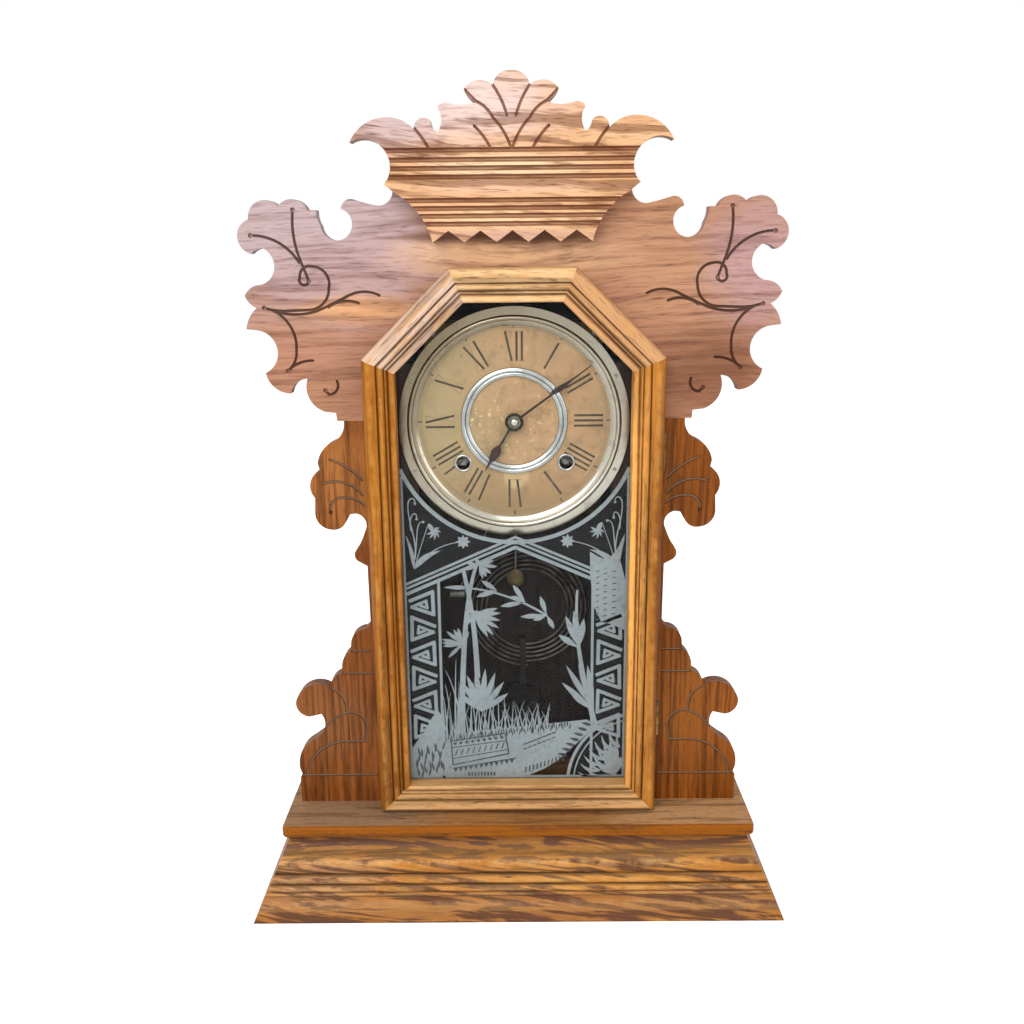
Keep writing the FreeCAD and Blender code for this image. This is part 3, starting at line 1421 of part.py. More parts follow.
def make_strike_train():
    """Pin wheel, third, warning wheel and fly of the strike side."""
    great, second, third, warning, fly = (spot[n] for n in (
        "strike_great", "strike_second", "strike_third", "warning", "fly"))
    shape = arbor(second)
    shape = shape.fuse(lantern(second, second_pinion_leaves, great_module,
                               bearing(second, great), at_level(great_level),
                               great_thickness))
    y0 = at_level(front_wheel_level)
    shape = shape.fuse(wheel(second, strike_second_teeth, second_module,
                             bearing(second, third), y0, wheel_thickness))
    ring = tube_y(lift_pin_circle + rim_width / 2, lift_pin_circle - rim_width / 2,
                  second[0], second[1], y0, y0 + wheel_thickness)
    shape = shape.fuse(ring)
    for index in range(lift_pin_count):
        x, z = off(second, lift_pin_circle, 360 * index / lift_pin_count)
        shape = shape.fuse(rod_y(lift_pin_radius, x, z, y0 + wheel_thickness / 2,
                                 y0 + wheel_thickness + lift_pin_length))
    export("strike_second_wheel", shape)

    shape = arbor(third)
    shape = shape.fuse(lantern(third, small_pinion_leaves, second_module, bearing(third, second),
                               y0, wheel_thickness))
    shape = shape.fuse(wheel(third, strike_third_teeth, strike_third_module,
                             bearing(third, warning), at_level(strike_third_level),
                             wheel_thickness))
    export("strike_third_wheel", shape)

    shape = arbor(warning)
    shape = shape.fuse(lantern(warning, small_pinion_leaves, strike_third_module,
                               bearing(warning, third), at_level(strike_third_level),
                               wheel_thickness))
    shape = shape.fuse(wheel(warning, warning_teeth, fine_module, bearing(warning, fly),
                             at_level(warning_level), wheel_thickness))
    export("warning_wheel", shape)

    shape = arbor(fly)
    shape = shape.fuse(lantern(fly, small_pinion_leaves, fine_module, bearing(fly, warning),
                               at_level(warning_level), wheel_thickness))
    shape = shape.fuse(block(fly[0] - fly_width / 2, fly[0] + fly_width / 2,
                             at_level(fly_level), at_level(fly_level) + fly_length,
                             fly[1] - fly_thickness / 2, fly[1] + fly_thickness / 2))
    export("fly", shape)


def wire_run(points, radius):
    """A bent wire: straight lengths with a ball at each bend."""
    shape = None
    for a, b in zip(points, points[1:]):
        piece = Part.makeCylinder(radius, (b - a).Length, a, b - a)
        shape = piece if shape is None else shape.fuse(piece)
        shape = shape.fuse(Part.makeSphere(radius, b))
    return shape


def make_hammer():
    """Hammer arbor with its tail to the lifting pins and its head beside the gong."""
    place = spot["hammer"]
    shape = arbor(place)
    second = spot["strike_second"]
    tail_reach = lift_pin_circle + lift_pin_radius + hammer_tail_radius + click_clearance
    toward = bearing(second, spot["hammer"]) + math.radians(hammer_tail_deg)
    tail_y = at_level(hammer_tail_level)
    tail_end = vec(second[0] + tail_reach * math.cos(toward), tail_y,
                   second[1] + tail_reach * math.sin(toward))
    tail = wire_run([vec(place[0], tail_y, place[1]), tail_end], hammer_tail_radius)
    reach = gong_outer()
    head_z = gong_z + reach / 4
    face_x = gong_x - math.sqrt(reach ** 2 - (head_z - gong_z) ** 2) - hammer_gap
    head_x = face_x - hammer_head_length / 2
    wire_y = at_level(hammer_level)
    bend_z = dial_z - plate_down - hammer_head_length
    lean = (place[1] - bend_z) / (place[1] - head_z)
    bend_x = place[0] + (head_x - place[0]) * lean
    route = [vec(place[0], wire_y, place[1]), vec(bend_x, wire_y, bend_z),
             vec(bend_x, gong_y, bend_z - hammer_head_length),
             vec(head_x, gong_y, head_z)]
    wire = wire_run(route, hammer_wire_radius)
    head = Part.makeCylinder(hammer_head_radius, hammer_head_length,
                             vec(head_x - hammer_head_length / 2, gong_y - hammer_head_radius / 2,
                                 head_z), vec(1, 0, 0))
    export("hammer", shape.fuse(tail).fuse(wire).fuse(head))


def gong_outer():
    """Outer radius of the coiled gong."""
    return gong_inner + gong_pitch / 2 * (gong_half_turns - 1) + gong_wire_radius


def make_gong():
    """A flat coil of steel wire, held at its inner end by an iron stand."""
    step = gong_pitch / 2
    diameter = 2 * gong_wire_radius
    start = vec(gong_x, gong_y, gong_z - gong_inner)
    lead = vec(gong_x - diameter, gong_y, gong_z - gong_inner)
    edges = [Part.LineSegment(lead, start).toShape()]
    samples = []
    for turn in range(gong_half_turns):
        radius = gong_inner + step * turn
        middle = gong_z - (step if turn % 2 else 0)
        upward = 1 if turn % 2 == 0 else -1
        a = vec(gong_x, gong_y, middle - upward * radius)
        b = vec(gong_x, gong_y, middle + upward * radius)
        bulge = vec(gong_x + upward * radius, gong_y, middle)
        edges.append(Part.Arc(a, bulge, b).toShape())
        samples.append([edges[-1].valueAt(edges[-1].FirstParameter
                                          + (edges[-1].LastParameter
                                             - edges[-1].FirstParameter) * k
                                          / gong_sample_count)
                        for k in range(gong_sample_count + 1)])
    path = Part.Wire(edges)
    ring = Part.Wire(Part.Circle(lead, vec(1, 0, 0), gong_wire_radius).toShape())
    coil = path.makePipeShell([ring], True, False)
    least = min((p - q).Length for i in range(gong_half_turns - 2) for p in samples[i]
                for q in samples[i + 2]) - diameter
    print("gong coil's least gap to itself", round(least, 2))
    length = sum(e.Length for e in edges)
    print("gong coil volume against section times length",
          round(coil.Volume), round(math.pi * gong_wire_radius ** 2 * length))
    export("gong_coil", coil)

    right = gong_x - diameter
    left = right - gong_head_width
    arm_back = gong_y - gong_wire_radius - gong_arm_gap
    arm_front = arm_back - gong_arm_depth
    head_low = gong_z - gong_inner - gong_head_drop
    head_high = head_low + gong_head_drop + gong_head_rise
    foot_low = deck_top + gong_foot_lift
    foot_high = foot_low + gong_foot_height
    foot_middle = (left + right) / 2
    head = block(left, right, arm_front, gong_y + gong_wire_radius, head_low, head_high)
    arm = block(left, right, arm_front, arm_back, foot_low, head_high)
    foot = block(foot_middle - gong_foot_half, foot_middle + gong_foot_half,
                 back_board_front - gong_foot_thickness, back_board_front, foot_low, foot_high)
    neck = block(left, right, arm_front, back_board_front, foot_low, foot_high)
    stand = head.fuse(arm).fuse(foot).fuse(neck).removeSplitter()
    for screw in gong_screws():
        stand = stand.cut(screw)
    export("gong_stand", stand)


def gong_screws():
    """Two screws through the foot of the gong stand into the back board."""
    middle = gong_x - 2 * gong_wire_radius - gong_head_width / 2
    z = deck_top + gong_foot_lift + gong_foot_height / 2
    spread = (gong_foot_half + gong_head_width / 2) / 2
    seat = back_board_front - gong_foot_thickness
    return [screw_y(middle + side_sign * spread, z, seat, 1) for side_sign in (-1, 1)]


os.makedirs("parts", exist_ok=True)
make_base()
make_frame_boards()
make_crown()
make_case()
make_door_rails()
make_door_glass()
hinge_screw_solids = make_hinges()
make_catch()
make_dial()
make_plates()
export("wood_screws", *(movement_screws() + gong_screws() + hinge_screw_solids))
make_great("time", spot["time_great"], spot["second"])
make_great("strike", spot["strike_great"], spot["strike_second"])
low_pillars = [place for place in pillar_places() if place[1] < dial_z]
export("mainsprings", mainspring(spot["strike_great"], low_pillars[0], strike_spring_end_deg),
       mainspring(spot["time_great"], low_pillars[1], time_spring_end_deg))
make_time_train()
make_motion_work()
make_hands()
make_verge()
make_pendulum()
make_strike_train()
make_hammer()
make_gong()
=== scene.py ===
"""Looks of the gingerbread clock: oak case, glazed door with its print, dial and works."""

from __future__ import annotations

import logging
import math
from dataclasses import dataclass
from enum import Enum
from typing import Iterable, NamedTuple, Optional, Sequence

import bpy
import numpy as np
from mathutils import Matrix, Vector


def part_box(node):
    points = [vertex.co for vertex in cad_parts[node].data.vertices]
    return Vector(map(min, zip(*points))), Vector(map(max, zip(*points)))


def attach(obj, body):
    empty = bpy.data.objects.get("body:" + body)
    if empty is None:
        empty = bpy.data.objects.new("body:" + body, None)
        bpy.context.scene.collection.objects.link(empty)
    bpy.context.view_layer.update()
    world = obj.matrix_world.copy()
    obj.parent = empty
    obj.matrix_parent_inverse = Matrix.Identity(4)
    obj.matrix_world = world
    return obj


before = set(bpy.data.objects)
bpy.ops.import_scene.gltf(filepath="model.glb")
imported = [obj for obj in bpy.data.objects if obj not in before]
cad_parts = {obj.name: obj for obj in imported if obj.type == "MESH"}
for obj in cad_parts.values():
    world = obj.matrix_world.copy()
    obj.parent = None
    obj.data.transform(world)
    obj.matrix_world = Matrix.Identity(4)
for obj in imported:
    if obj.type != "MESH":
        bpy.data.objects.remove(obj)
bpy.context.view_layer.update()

LOG = logging.getLogger("clock")
MM = 0.001
IMAGE_SIDE = 1024
WHITE = (1.0, 1.0, 1.0, 1.0)
Triple = tuple[float, float, float]
Colour = Triple
Point = tuple[float, float]
Stops = tuple[Point, ...]
Socket = bpy.types.NodeSocket

# Places in the shared frame, in millimetres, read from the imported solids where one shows
# them; the hub of the hands and the middle of the bezel are the CAD's own heights
HUB_Z = 343.1
BEZEL_Z = 341.6
DIAL_FACE_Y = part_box("dial_paper")[0].y / MM
GLASS_BACK_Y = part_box("door_glass")[1].y / MM
BOARD_FRONT_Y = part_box("top_board")[0].y / MM
CROWN_FRONT_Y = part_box("crown_board")[0].y / MM
DECK_FRONT_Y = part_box("deck_board")[0].y / MM


def rgb(red: int, green: int, blue: int) -> Colour:
    """Turn a written 0 to 255 colour into the linear one that shaders use.

    Formula: the usual display curve undone for each channel.
    """
    shares = (value / 255 for value in (red, green, blue))
    return tuple(share / 12.92 if share <= 0.04045 else ((share + 0.055) / 1.055) ** 2.4
                 for share in shares)


# Materials


class Grain(Enum):
    """Which way a board's fibres run, as turns about the depth and upright axes in degrees."""

    ACROSS = (0.0, 0.0)
    UPRIGHT = (90.0, 0.0)
    LEFT_SLANT = (44.4, 0.0)
    RIGHT_SLANT = (-44.4, 0.0)
    BACKWARD = (0.0, 90.0)


class Wash(NamedTuple):
    """A soft-edged patch that shifts a board's colour: some stand for stains of age and wear,
    others are painted sheen, highlight and shade, as noted where a board lists them.
    """

    x: float
    z: float
    wide: float
    tall: float
    colour: Colour
    share: float


class Graph:
    """The nodes of one material or world, added a step at a time."""

    def __init__(self, owner: bpy.types.ID) -> None:
        """Start without nodes.

        Args:
            owner: the new material or world.
        """
        owner.use_nodes = True
        self.tree = owner.node_tree
        self.tree.nodes.clear()
        self._place: Optional[Socket] = None

    def add(self, kind: str, inputs: Optional[dict] = None, **settings: object) -> bpy.types.Node:
        """Add a node, set its properties and feed its inputs.

        Args:
            kind: the node's type name without "ShaderNode".
            inputs: input name or number to a socket or a constant.
            settings: properties of the node itself.

        Returns:
            The node.
        """
        node = self.tree.nodes.new("ShaderNode" + kind)
        for key, value in settings.items():
            setattr(node, key, value)
        for key, value in (inputs or {}).items():
            if isinstance(value, Socket):
                self.tree.links.new(value, node.inputs[key])
            else:
                node.inputs[key].default_value = value
        return node

    @property
    def place(self) -> Socket:
        """The object coordinates, in metres."""
        if self._place is None:
            self._place = self.add("TexCoord").outputs["Object"]
        return self._place

    def moved(self, location: Triple = (0, 0, 0), turn: Triple = (0, 0, 0),
              scale: Triple = (1, 1, 1)) -> Socket:
        """Object coordinates scaled, turned in radians and then moved in metres."""
        return self.add("Mapping", {"Vector": self.place, "Location": location,
                                    "Rotation": turn, "Scale": scale}).outputs["Vector"]

    def vector(self, operation: str, a: object, b: object) -> Socket:
        """One step on whole vectors."""
        return self.add("VectorMath", {0: a, 1: b}, operation=operation).outputs[0]

    def length(self, vector: Socket) -> Socket:
        """A vector's length."""
        return self.add("VectorMath", {0: vector}, operation="LENGTH").outputs["Value"]

    def along(self, vector: Socket, way: Triple) -> Socket:
        """How far a vector reaches along a direction."""
        return self.add("VectorMath", {0: vector, 1: way},
                        operation="DOT_PRODUCT").outputs["Value"]

    def radius(self, x: float, z: float) -> Socket:
        """Distance, across and up, from a place given in millimetres."""
        return self.length(self.moved((-x * MM, 0, -z * MM), scale=(1, 0, 1)))

    def axis(self, vector: Socket, name: str) -> Socket:
        """One part of a vector: X, Y or Z."""
        return self.add("SeparateXYZ", {0: vector}).outputs[name]

    def math(self, operation: str, a: object, b: object = 0.0, c: object = 0.0,
             clamp: bool = False) -> Socket:
        """One arithmetic step.

        Args:
            operation: the step's name.
            a: first value.
            b: second value.
            c: third value, for steps that have one.
            clamp: whether the result is kept from 0 to 1.

        Returns:
            The result.
        """
        return self.add("Math", {0: a, 1: b, 2: c}, operation=operation,
                        use_clamp=clamp).outputs[0]

    def times(self, a: object, b: object, plus: object = 0.0) -> Socket:
        """The product of two values, plus a third."""
        return self.math("MULTIPLY_ADD", a, b, plus)

    def noise(self, vector: Socket, cells: object, detail: float = 2.0, roughness: float = 0.5,
              distortion: float = 0.0, output: str = "Fac") -> Socket:
        """Cloudy noise from 0 to 1.

        Args:
            vector: coordinates.
            cells: cells a metre, as one number or as one for each axis.
            detail: how many finer layers are added.
            roughness: how much each of those counts.
            distortion: how far the noise is pulled out of shape.
            output: Fac for a grey value, Color for three of them.

        Returns:
            The noise.
        """
        if isinstance(cells, tuple):
            vector, cells = self.vector("MULTIPLY", vector, cells), 1.0
        return self.add("TexNoise", {"Vector": vector, "Scale": cells, "Detail": detail,
                                     "Roughness": roughness,
                                     "Distortion": distortion}).outputs[output]

    def step(self, value: Socket, low: float, high: float, top: float = 1.0,
             floor: float = 0.0) -> Socket:
        """A smooth rise from floor at low to top at high."""
        return self.add("MapRange", {"Value": value, "From Min": low, "From Max": high,
                                     "To Min": floor, "To Max": top},
                        interpolation_type="SMOOTHSTEP").outputs["Result"]

    def ramp(self, value: Socket, stops: Stops) -> Socket:
        """A grey value read from stops, each a place from 0 to 1 and its grey."""
        node = self.add("ValToRGB", {"Fac": value})
        elements = node.color_ramp.elements
        for index, (place, grey) in enumerate(stops):
            element = elements[index] if index < 2 else elements.new(place)
            element.position = place
            element.color = (grey, grey, grey, 1)
        return node.outputs["Color"]

    def mix(self, share: object, a: object, b: object) -> Socket:
        """Mix two colours, with a share from 0 to 1 of the second."""
        first, second = (value if isinstance(value, Socket) else (*value, 1.0)
                         for value in (a, b))
        return self.add("Mix", {0: share, 6: first, 7: second}, data_type="RGBA").outputs[2]

    def stain(self, ground: object, tint: object, value: Socket, low: float, high: float,
              top: float = 1.0) -> Socket:
        """Turn a ground toward a tint, by a share that rises to top as a value goes up.

        Args:
            ground: colour where the value is at low.
            tint: colour toward high.
            value: what the stain follows.
            low: value at which the stain starts.
            high: value at which it is strongest.
            top: its largest share.

        Returns:
            The stained colour.
        """
        return self.mix(self.step(value, low, high, top), ground, tint)

    def bump(self, height: Socket, strength: float, depth: float) -> Socket:
        """A normal roughened by a height."""
        return self.add("Bump", {"Height": height, "Strength": strength,
                                 "Distance": depth}).outputs["Normal"]

    def blend(self, share: Socket, first: bpy.types.Node, second: bpy.types.Node,
              ) -> bpy.types.Node:
        """Blend two shaders, with a share of the second."""
        return self.add("MixShader", {0: share, 1: first.outputs[0], 2: second.outputs[0]})

    def finish(self, surface: bpy.types.Node, kind: str = "Material") -> None:
        """Send a shader to the output."""
        self.add("Output" + kind, {0: surface.outputs[0]})

    def shell(self, **inputs: object) -> None:
        """Finish with the standard surface; inputs are named with underscores for spaces."""
        self.finish(self.add("BsdfPrincipled", {key.replace("_", " "): value
                                                for key, value in inputs.items()}))


@dataclass(frozen=True)
class Finish:
    """A procedural material, built when something wears it."""

    name: str

    def shade(self, graph: Graph) -> None:
        """Lay the finish's nodes into an empty graph."""
        raise NotImplementedError

    def build(self) -> bpy.types.Material:
        """Build the material.

        Returns:
            The material.
        """
        material = bpy.data.materials.new(self.name)
        self.shade(Graph(material))
        return material


@dataclass(frozen=True)
class OakFinish(Finish):
    """Varnished oak: wavy figure, short dark pores, fibre, washes of age and of painted light,
    and grime with painted shade in quirks and carved lines.

    The figure is stretched noise on coordinates that a slow and a quick noise have pushed
    sideways, so that its streaks run along the grain, swell and pinch out. Each layer takes
    the graph and the colour so far, and returns the colour with that layer on it.
    """

    grain: Grain
    pale: Colour
    mid: Colour
    dark: Colour
    figure_scale: Point
    figure_edge: Point = (0.50, 0.60)
    figure_strength: float = 0.6
    pore_scale: Point = (170.0, 850.0)
    pore_strength: float = 0.6
    bend: float = 0.012
    lean: float = 0.0
    shift: Triple = (0.0, 0.0, 0.0)
    roughness: float = 0.42
    washes: tuple[Wash, ...] = ()
    edge_colour: Optional[Colour] = None
    edge_fade: Point = (4.0, 1.2)
    front_y: Optional[float] = None
    depth_span: float = 12.0
    # Carved lines: their walls darken by depth, grime with painted shade in it, and their floor
    # is made paler, dust with a painted highlight in it
    wall_grime_and_shade_stops: Stops = ((0.0, 0.0), (0.012, 0.0), (0.035, 0.7), (0.09, 1.0), (0.125, 0.35),
                         (1.0, 0.3))
    floor_dust_and_highlight_stops: Stops = ((0.0, 0.0), (0.055, 0.0), (0.08, 1.0), (0.115, 1.0), (0.13, 0.0))
    # Carved lines, quirks and faces that look down are darkened toward the next colour: grime,
    # with painted shade in it
    grime_and_shade: float = 0.75
    grime_and_shade_colour: Colour = rgb(52, 28, 14)
    # The floor of carved lines is made paler toward the next colour: dust, with a painted
    # highlight in it
    dust: float = 0.0
    dust_and_highlight_colour: Colour = rgb(196, 168, 140)
    # Share of painted highlight on faces that look up and painted shade on faces that look down
    relief: float = 0.0
    quirk: Optional[tuple[Point, Point]] = None
    quirk_width: float = 21.4
    # Quirks darkened, grime with painted shade; ridges made paler, wear with a painted highlight
    quirk_grime_and_shade_stops: Stops = ()
    wear_and_highlight_stops: Stops = ()
    wear_and_highlight_colour: Colour = rgb(236, 190, 120)

    def patterns(self, graph: Graph) -> tuple[Socket, Socket, Socket, Socket]:
        """The grain's own patterns.

        Formula: a place is pushed across the grain by twice bend times a slow noise less one
        half, and by 0.12 of bend times a quick noise less one half. Every pattern is noise at
        that place, drawn out along the grain.

        Args:
            graph: the material being built.

        Returns:
            Figure, pores, fibre and clouds, each from 0 to 1.
        """
        tilt, swing = self.grain.value
        along = graph.moved(self.shift,
                            (0.0, math.radians(tilt + self.lean), math.radians(swing)))
        bent = along
        for cells, detail, push in (((5.0, 16.0, 16.0), 1.5, self.bend * 2),
                                    ((38.0, 110.0, 110.0), 1.0, self.bend * 0.12)):
            drift = graph.noise(along, cells, detail, output="Color")
            drift = graph.vector("SUBTRACT", drift, (0.5, 0.5, 0.5))
            drift = graph.vector("MULTIPLY", drift, (0.0, push, push))
            bent = graph.vector("ADD", bent, drift)
        long, wide = self.figure_scale
        streak = graph.noise(bent, (long, wide, wide), 3.0, 0.55)
        long, wide = self.pore_scale
        speck = graph.noise(bent, (long, wide, wide), 1.0)
        fine = graph.noise(bent, (long * 0.45, wide * 2.1, wide * 2.1))
        pores = graph.math("MAXIMUM", graph.step(speck, 0.55, 0.68),
                           graph.step(fine, 0.57, 0.72, 0.55))
        return (graph.step(streak, *self.figure_edge), pores,
                graph.noise(bent, (20.0, 420.0, 420.0), 3.0, 0.6),
                graph.noise(bent, (9.0, 26.0, 26.0), 3.0))

    def shade(self, graph: Graph) -> None:
        """Lay body colour, washes, streaks, pores, and grime with painted shade and highlight
        over one another.
        """
        figure, pores, fibre, clouds = self.patterns(graph)
        colour = graph.stain(self.mid, self.pale, fibre, 0.34, 0.68)
        colour = graph.stain(colour, self.mid, clouds, 0.36, 0.68, 0.75)
        colour = self.edged(graph, self.washed(graph, colour))
        colour = graph.mix(graph.times(figure, self.figure_strength), colour, self.dark)
        density = graph.times(figure, 0.5, 0.5)
        colour = graph.mix(graph.times(graph.times(pores, density), self.pore_strength),
                           colour, self.dark)
        for layer in (self.carved, self.moulded, self.light_and_shade_by_facing):
            colour = layer(graph, colour)
        height = graph.math("SUBTRACT", graph.times(fibre, 0.3), graph.times(pores, 0.8))
        graph.shell(Base_Color=colour, Roughness=graph.times(clouds, 0.24, self.roughness - 0.12),
                    Normal=graph.bump(height, 0.4, 0.0003), Coat_Weight=0.03,
                    Coat_Roughness=0.25, Specular_IOR_Level=0.10)

    def washed(self, graph: Graph, colour: Socket) -> Socket:
        """Lay the soft patches, each a share that falls to nothing at its ragged edge."""
        if not self.washes:
            return colour
        ragged = graph.noise(graph.moved(self.shift), (22.0, 22.0, 60.0), 3.0, 0.6)
        for wash in self.washes:
            local = graph.moved((-wash.x / wash.wide, 0.0, -wash.z / wash.tall),
                                scale=(1 / (wash.wide * MM), 0.0, 1 / (wash.tall * MM)))
            reach = graph.times(ragged, 0.7, graph.math("SUBTRACT", graph.length(local), 0.35))
            colour = graph.stain(colour, wash.colour, reach, 1.1, 0.25, wash.share)
        return colour

    def edged(self, graph: Graph, colour: Socket) -> Socket:
        """Colour the deck's front edge, which has kept more of its varnish."""
        if self.edge_colour is None:
            return colour
        start, end = ((DECK_FRONT_Y + reach) * MM for reach in self.edge_fade)
        return graph.stain(colour, self.edge_colour, graph.axis(graph.place, "Y"), start, end)

    def carved(self, graph: Graph, colour: Socket) -> Socket:
        """Darken the carved lines by their depth under the board's face, grime with painted shade
        in it, and make their floor paler, dust with a painted highlight in it.

        Formula: the stops' places are shares of depth_span, in millimetres below the face.
        """
        if self.front_y is None:
            return colour
        depth = graph.math("SUBTRACT", graph.axis(graph.place, "Y"), self.front_y * MM)
        share = graph.math("DIVIDE", depth, self.depth_span * MM, clamp=True)
        # Walls darken: grime with painted shade; floor pales: dust with a painted highlight
        wall_grime_and_shade, floor = (graph.ramp(share, stops)
                        for stops in (self.wall_grime_and_shade_stops, self.floor_dust_and_highlight_stops))
        colour = graph.mix(graph.times(wall_grime_and_shade, self.grime_and_shade), colour, self.grime_and_shade_colour)
        # Paler groove floor: dust with a painted highlight
        return graph.mix(graph.times(floor, self.dust), colour, self.dust_and_highlight_colour)

    def moulded(self, graph: Graph, colour: Socket) -> Socket:
        """Make a moulding's ridges paler, wear with a painted highlight in it, and darken its
        quirks, grime with painted shade in it, by the distance from its outer edge.
        """
        if self.quirk is None:
            return colour
        (start_x, start_z), (inward_x, inward_z) = self.quirk
        reach = graph.along(graph.moved((-start_x * MM, 0, -start_z * MM)),
                            (inward_x, 0.0, inward_z))
        share = graph.math("DIVIDE", reach, self.quirk_width * MM, clamp=True)
        broken = graph.noise(graph.moved(self.shift), 60.0, 3.0, 0.7)
        # Ridges paler: wear with a painted highlight; quirks darker: grime with painted shade
        worn = graph.times(graph.ramp(share, self.wear_and_highlight_stops), graph.step(broken, 0.35, 0.62))
        colour = graph.mix(worn, colour, self.wear_and_highlight_colour)
        quirk_grime_and_shade = graph.times(graph.ramp(share, self.quirk_grime_and_shade_stops),
                           graph.step(broken, 0.3, 0.6, 1.0, 0.6))
        return graph.mix(graph.times(quirk_grime_and_shade, self.grime_and_shade), colour, self.grime_and_shade_colour)

    def light_and_shade_by_facing(self, graph: Graph, colour: Socket) -> Socket:
        """Paint the faces of a moulding that look up paler, a painted highlight, and those that
        look down darker, a painted shade.
        """
        if not self.relief:
            return colour
        lift = graph.axis(graph.add("NewGeometry").outputs["Normal"], "Z")
        # Painted highlight above, painted shade below
        colour = graph.stain(colour, self.wear_and_highlight_colour, lift, 0.6, 0.95, self.relief * 0.6)
        return graph.stain(colour, self.grime_and_shade_colour, lift, -0.08, -0.7, self.relief)


@dataclass(frozen=True)
class SoftwoodFinish(Finish):
    """Plain sawn softwood inside and behind the case, stained or raw."""

    grain: Grain
    pale: Colour
    dark: Colour
    roughness: float = 0.72

    def shade(self, graph: Graph) -> None:
        """Lay wide soft rings, stains and saw marks."""
        tilt = math.radians(self.grain.value[0])
        along = graph.moved((0.31, 0.07, 0.12), (0.0, tilt, 0.0))
        rings = graph.noise(along, (2.5, 150.0, 150.0), 3.0, 0.55, 0.4)
        saw = graph.noise(along, (420.0, 9.0, 9.0))
        stain = graph.noise(along, 9.0, 4.0, 0.6)
        colour = graph.stain(self.pale, self.dark, rings, 0.36, 0.66)
        colour = graph.stain(colour, self.dark, stain, 0.35, 0.8, 0.55)
        graph.shell(Base_Color=colour, Roughness=self.roughness, Specular_IOR_Level=0.3,
                    Normal=graph.bump(graph.times(saw, 0.5, rings), 0.4, 0.0003))


@dataclass(frozen=True)
class MetalFinish(Finish):
    """A worked metal with rolling or drawing lines, tarnish clouds and small spots."""

    bright: Colour
    tarnish: Colour
    tarnish_share: float = 0.45
    roughness: float = 0.32
    metallic: float = 1.0
    cell: float = 60.0
    line: Triple = (30.0, 30.0, 900.0)
    bump: float = 0.08
    pits: float = 0.0

    def shade(self, graph: Graph) -> None:
        """Lay the tarnish over the bright metal, with its lines and pits as relief."""
        cloud = graph.noise(graph.place, self.cell, 4.0, 0.6)
        lines = graph.noise(graph.place, self.line, 2.0, 0.6)
        spots = graph.noise(graph.place, self.cell * 14)
        colour = graph.stain(self.bright, self.tarnish, cloud, 0.38, 0.72,
                             self.tarnish_share * 2)
        colour = graph.stain(colour, self.tarnish, spots, 0.66, 0.74, 0.6)
        height = graph.times(spots, self.pits, lines)
        graph.shell(Base_Color=colour, Metallic=self.metallic,
                    Roughness=graph.times(cloud, 0.30, self.roughness - 0.15),
                    Normal=graph.bump(height, self.bump, 0.0002))


@dataclass(frozen=True)
class DialPaperFinish(Finish):
    """Aged printed paper: browned ground, paler rim, worn spots round the middle."""

    name: str = "dial_paper_aged"

    def shade(self, graph: Graph) -> None:
        """Stain the paper by place, by the distance to three middles and by three noises."""
        centred = graph.moved((0, 0, -HUB_Z * MM), scale=(1, 0, 1))
        radius = graph.length(centred)
        cloud = graph.noise(centred, 26.0, 4.0, 0.6)
        blotch = graph.noise(centred, 95.0, 3.0, 0.65)
        flakes = graph.noise(centred, 330.0)
        patch = graph.times(cloud, 0.02, graph.radius(0.0, HUB_Z - 37))
        chips = graph.radius(-19.0, HUB_Z + 3)
        colour = graph.stain(rgb(206, 163, 122), rgb(190, 156, 118), cloud, 0.35, 0.7)
        # Each stain: its tint, what it follows, where it starts and is strongest, its share
        for tint, value, low, high, top in (
                (rgb(174, 142, 104), blotch, 0.5, 0.66, 0.8),
                (rgb(214, 178, 136), blotch, 0.44, 0.32, 0.7),
                (rgb(180, 168, 126), graph.axis(centred, "X"), 0.01, -0.06, 0.6),
                (rgb(160, 130, 92), graph.axis(centred, "Z"), -0.02, -0.065, 0.7),
                (rgb(218, 188, 142), patch, 0.0205, 0.0165, 0.7)):
            colour = graph.stain(colour, tint, value, low, high, top)
        reach = graph.math("MAXIMUM", graph.step(chips, 0.02, 0.008),
                           graph.step(radius, 0.034, 0.02, 0.5))
        colour = graph.mix(graph.times(graph.step(flakes, 0.62, 0.67), reach), colour,
                           rgb(238, 214, 166))
        colour = graph.stain(colour, rgb(120, 92, 62), flakes, 0.34, 0.27, 0.6)
        colour = graph.stain(colour, rgb(176, 158, 130), radius, 0.058, 0.069, 0.4)
        graph.shell(Base_Color=colour, Roughness=0.7, Specular_IOR_Level=0.2,
                    Normal=graph.bump(blotch, 0.25, 0.0002))


@dataclass(frozen=True)
class BezelFinish(Finish):
    """Smooth nickel with painted light: a painted shade, dull and brown, toward the upper left
    and a painted reflection, bright, at the lower right.
    """

    name: str = "nickel_bezel"

    def shade(self, graph: Graph) -> None:
        """Colour the nickel by the place along a slanting line, from painted shade to painted
        reflection, and by two soft noises.
        """
        # Painted shade at the upper left, painted reflection at the lower right
        slant = graph.along(graph.moved((0, 0, -BEZEL_Z * MM)), (8.0, 0.0, -8.0))
        cloud = graph.noise(graph.place, 26.0, 3.0)
        stain = graph.noise(graph.place, 90.0, 4.0, 0.65)
        share = graph.times(slant, 0.5, graph.times(cloud, 0.4, 0.3))
        colour = graph.mix(share, rgb(154, 134, 106), rgb(226, 219, 204))
        colour = graph.stain(colour, rgb(120, 104, 76), stain, 0.55, 0.75, 0.4)
        graph.shell(Base_Color=colour, Metallic=1.0, Roughness=graph.times(stain, 0.14, 0.14),
                    Normal=graph.bump(cloud, 0.05, 0.0002))


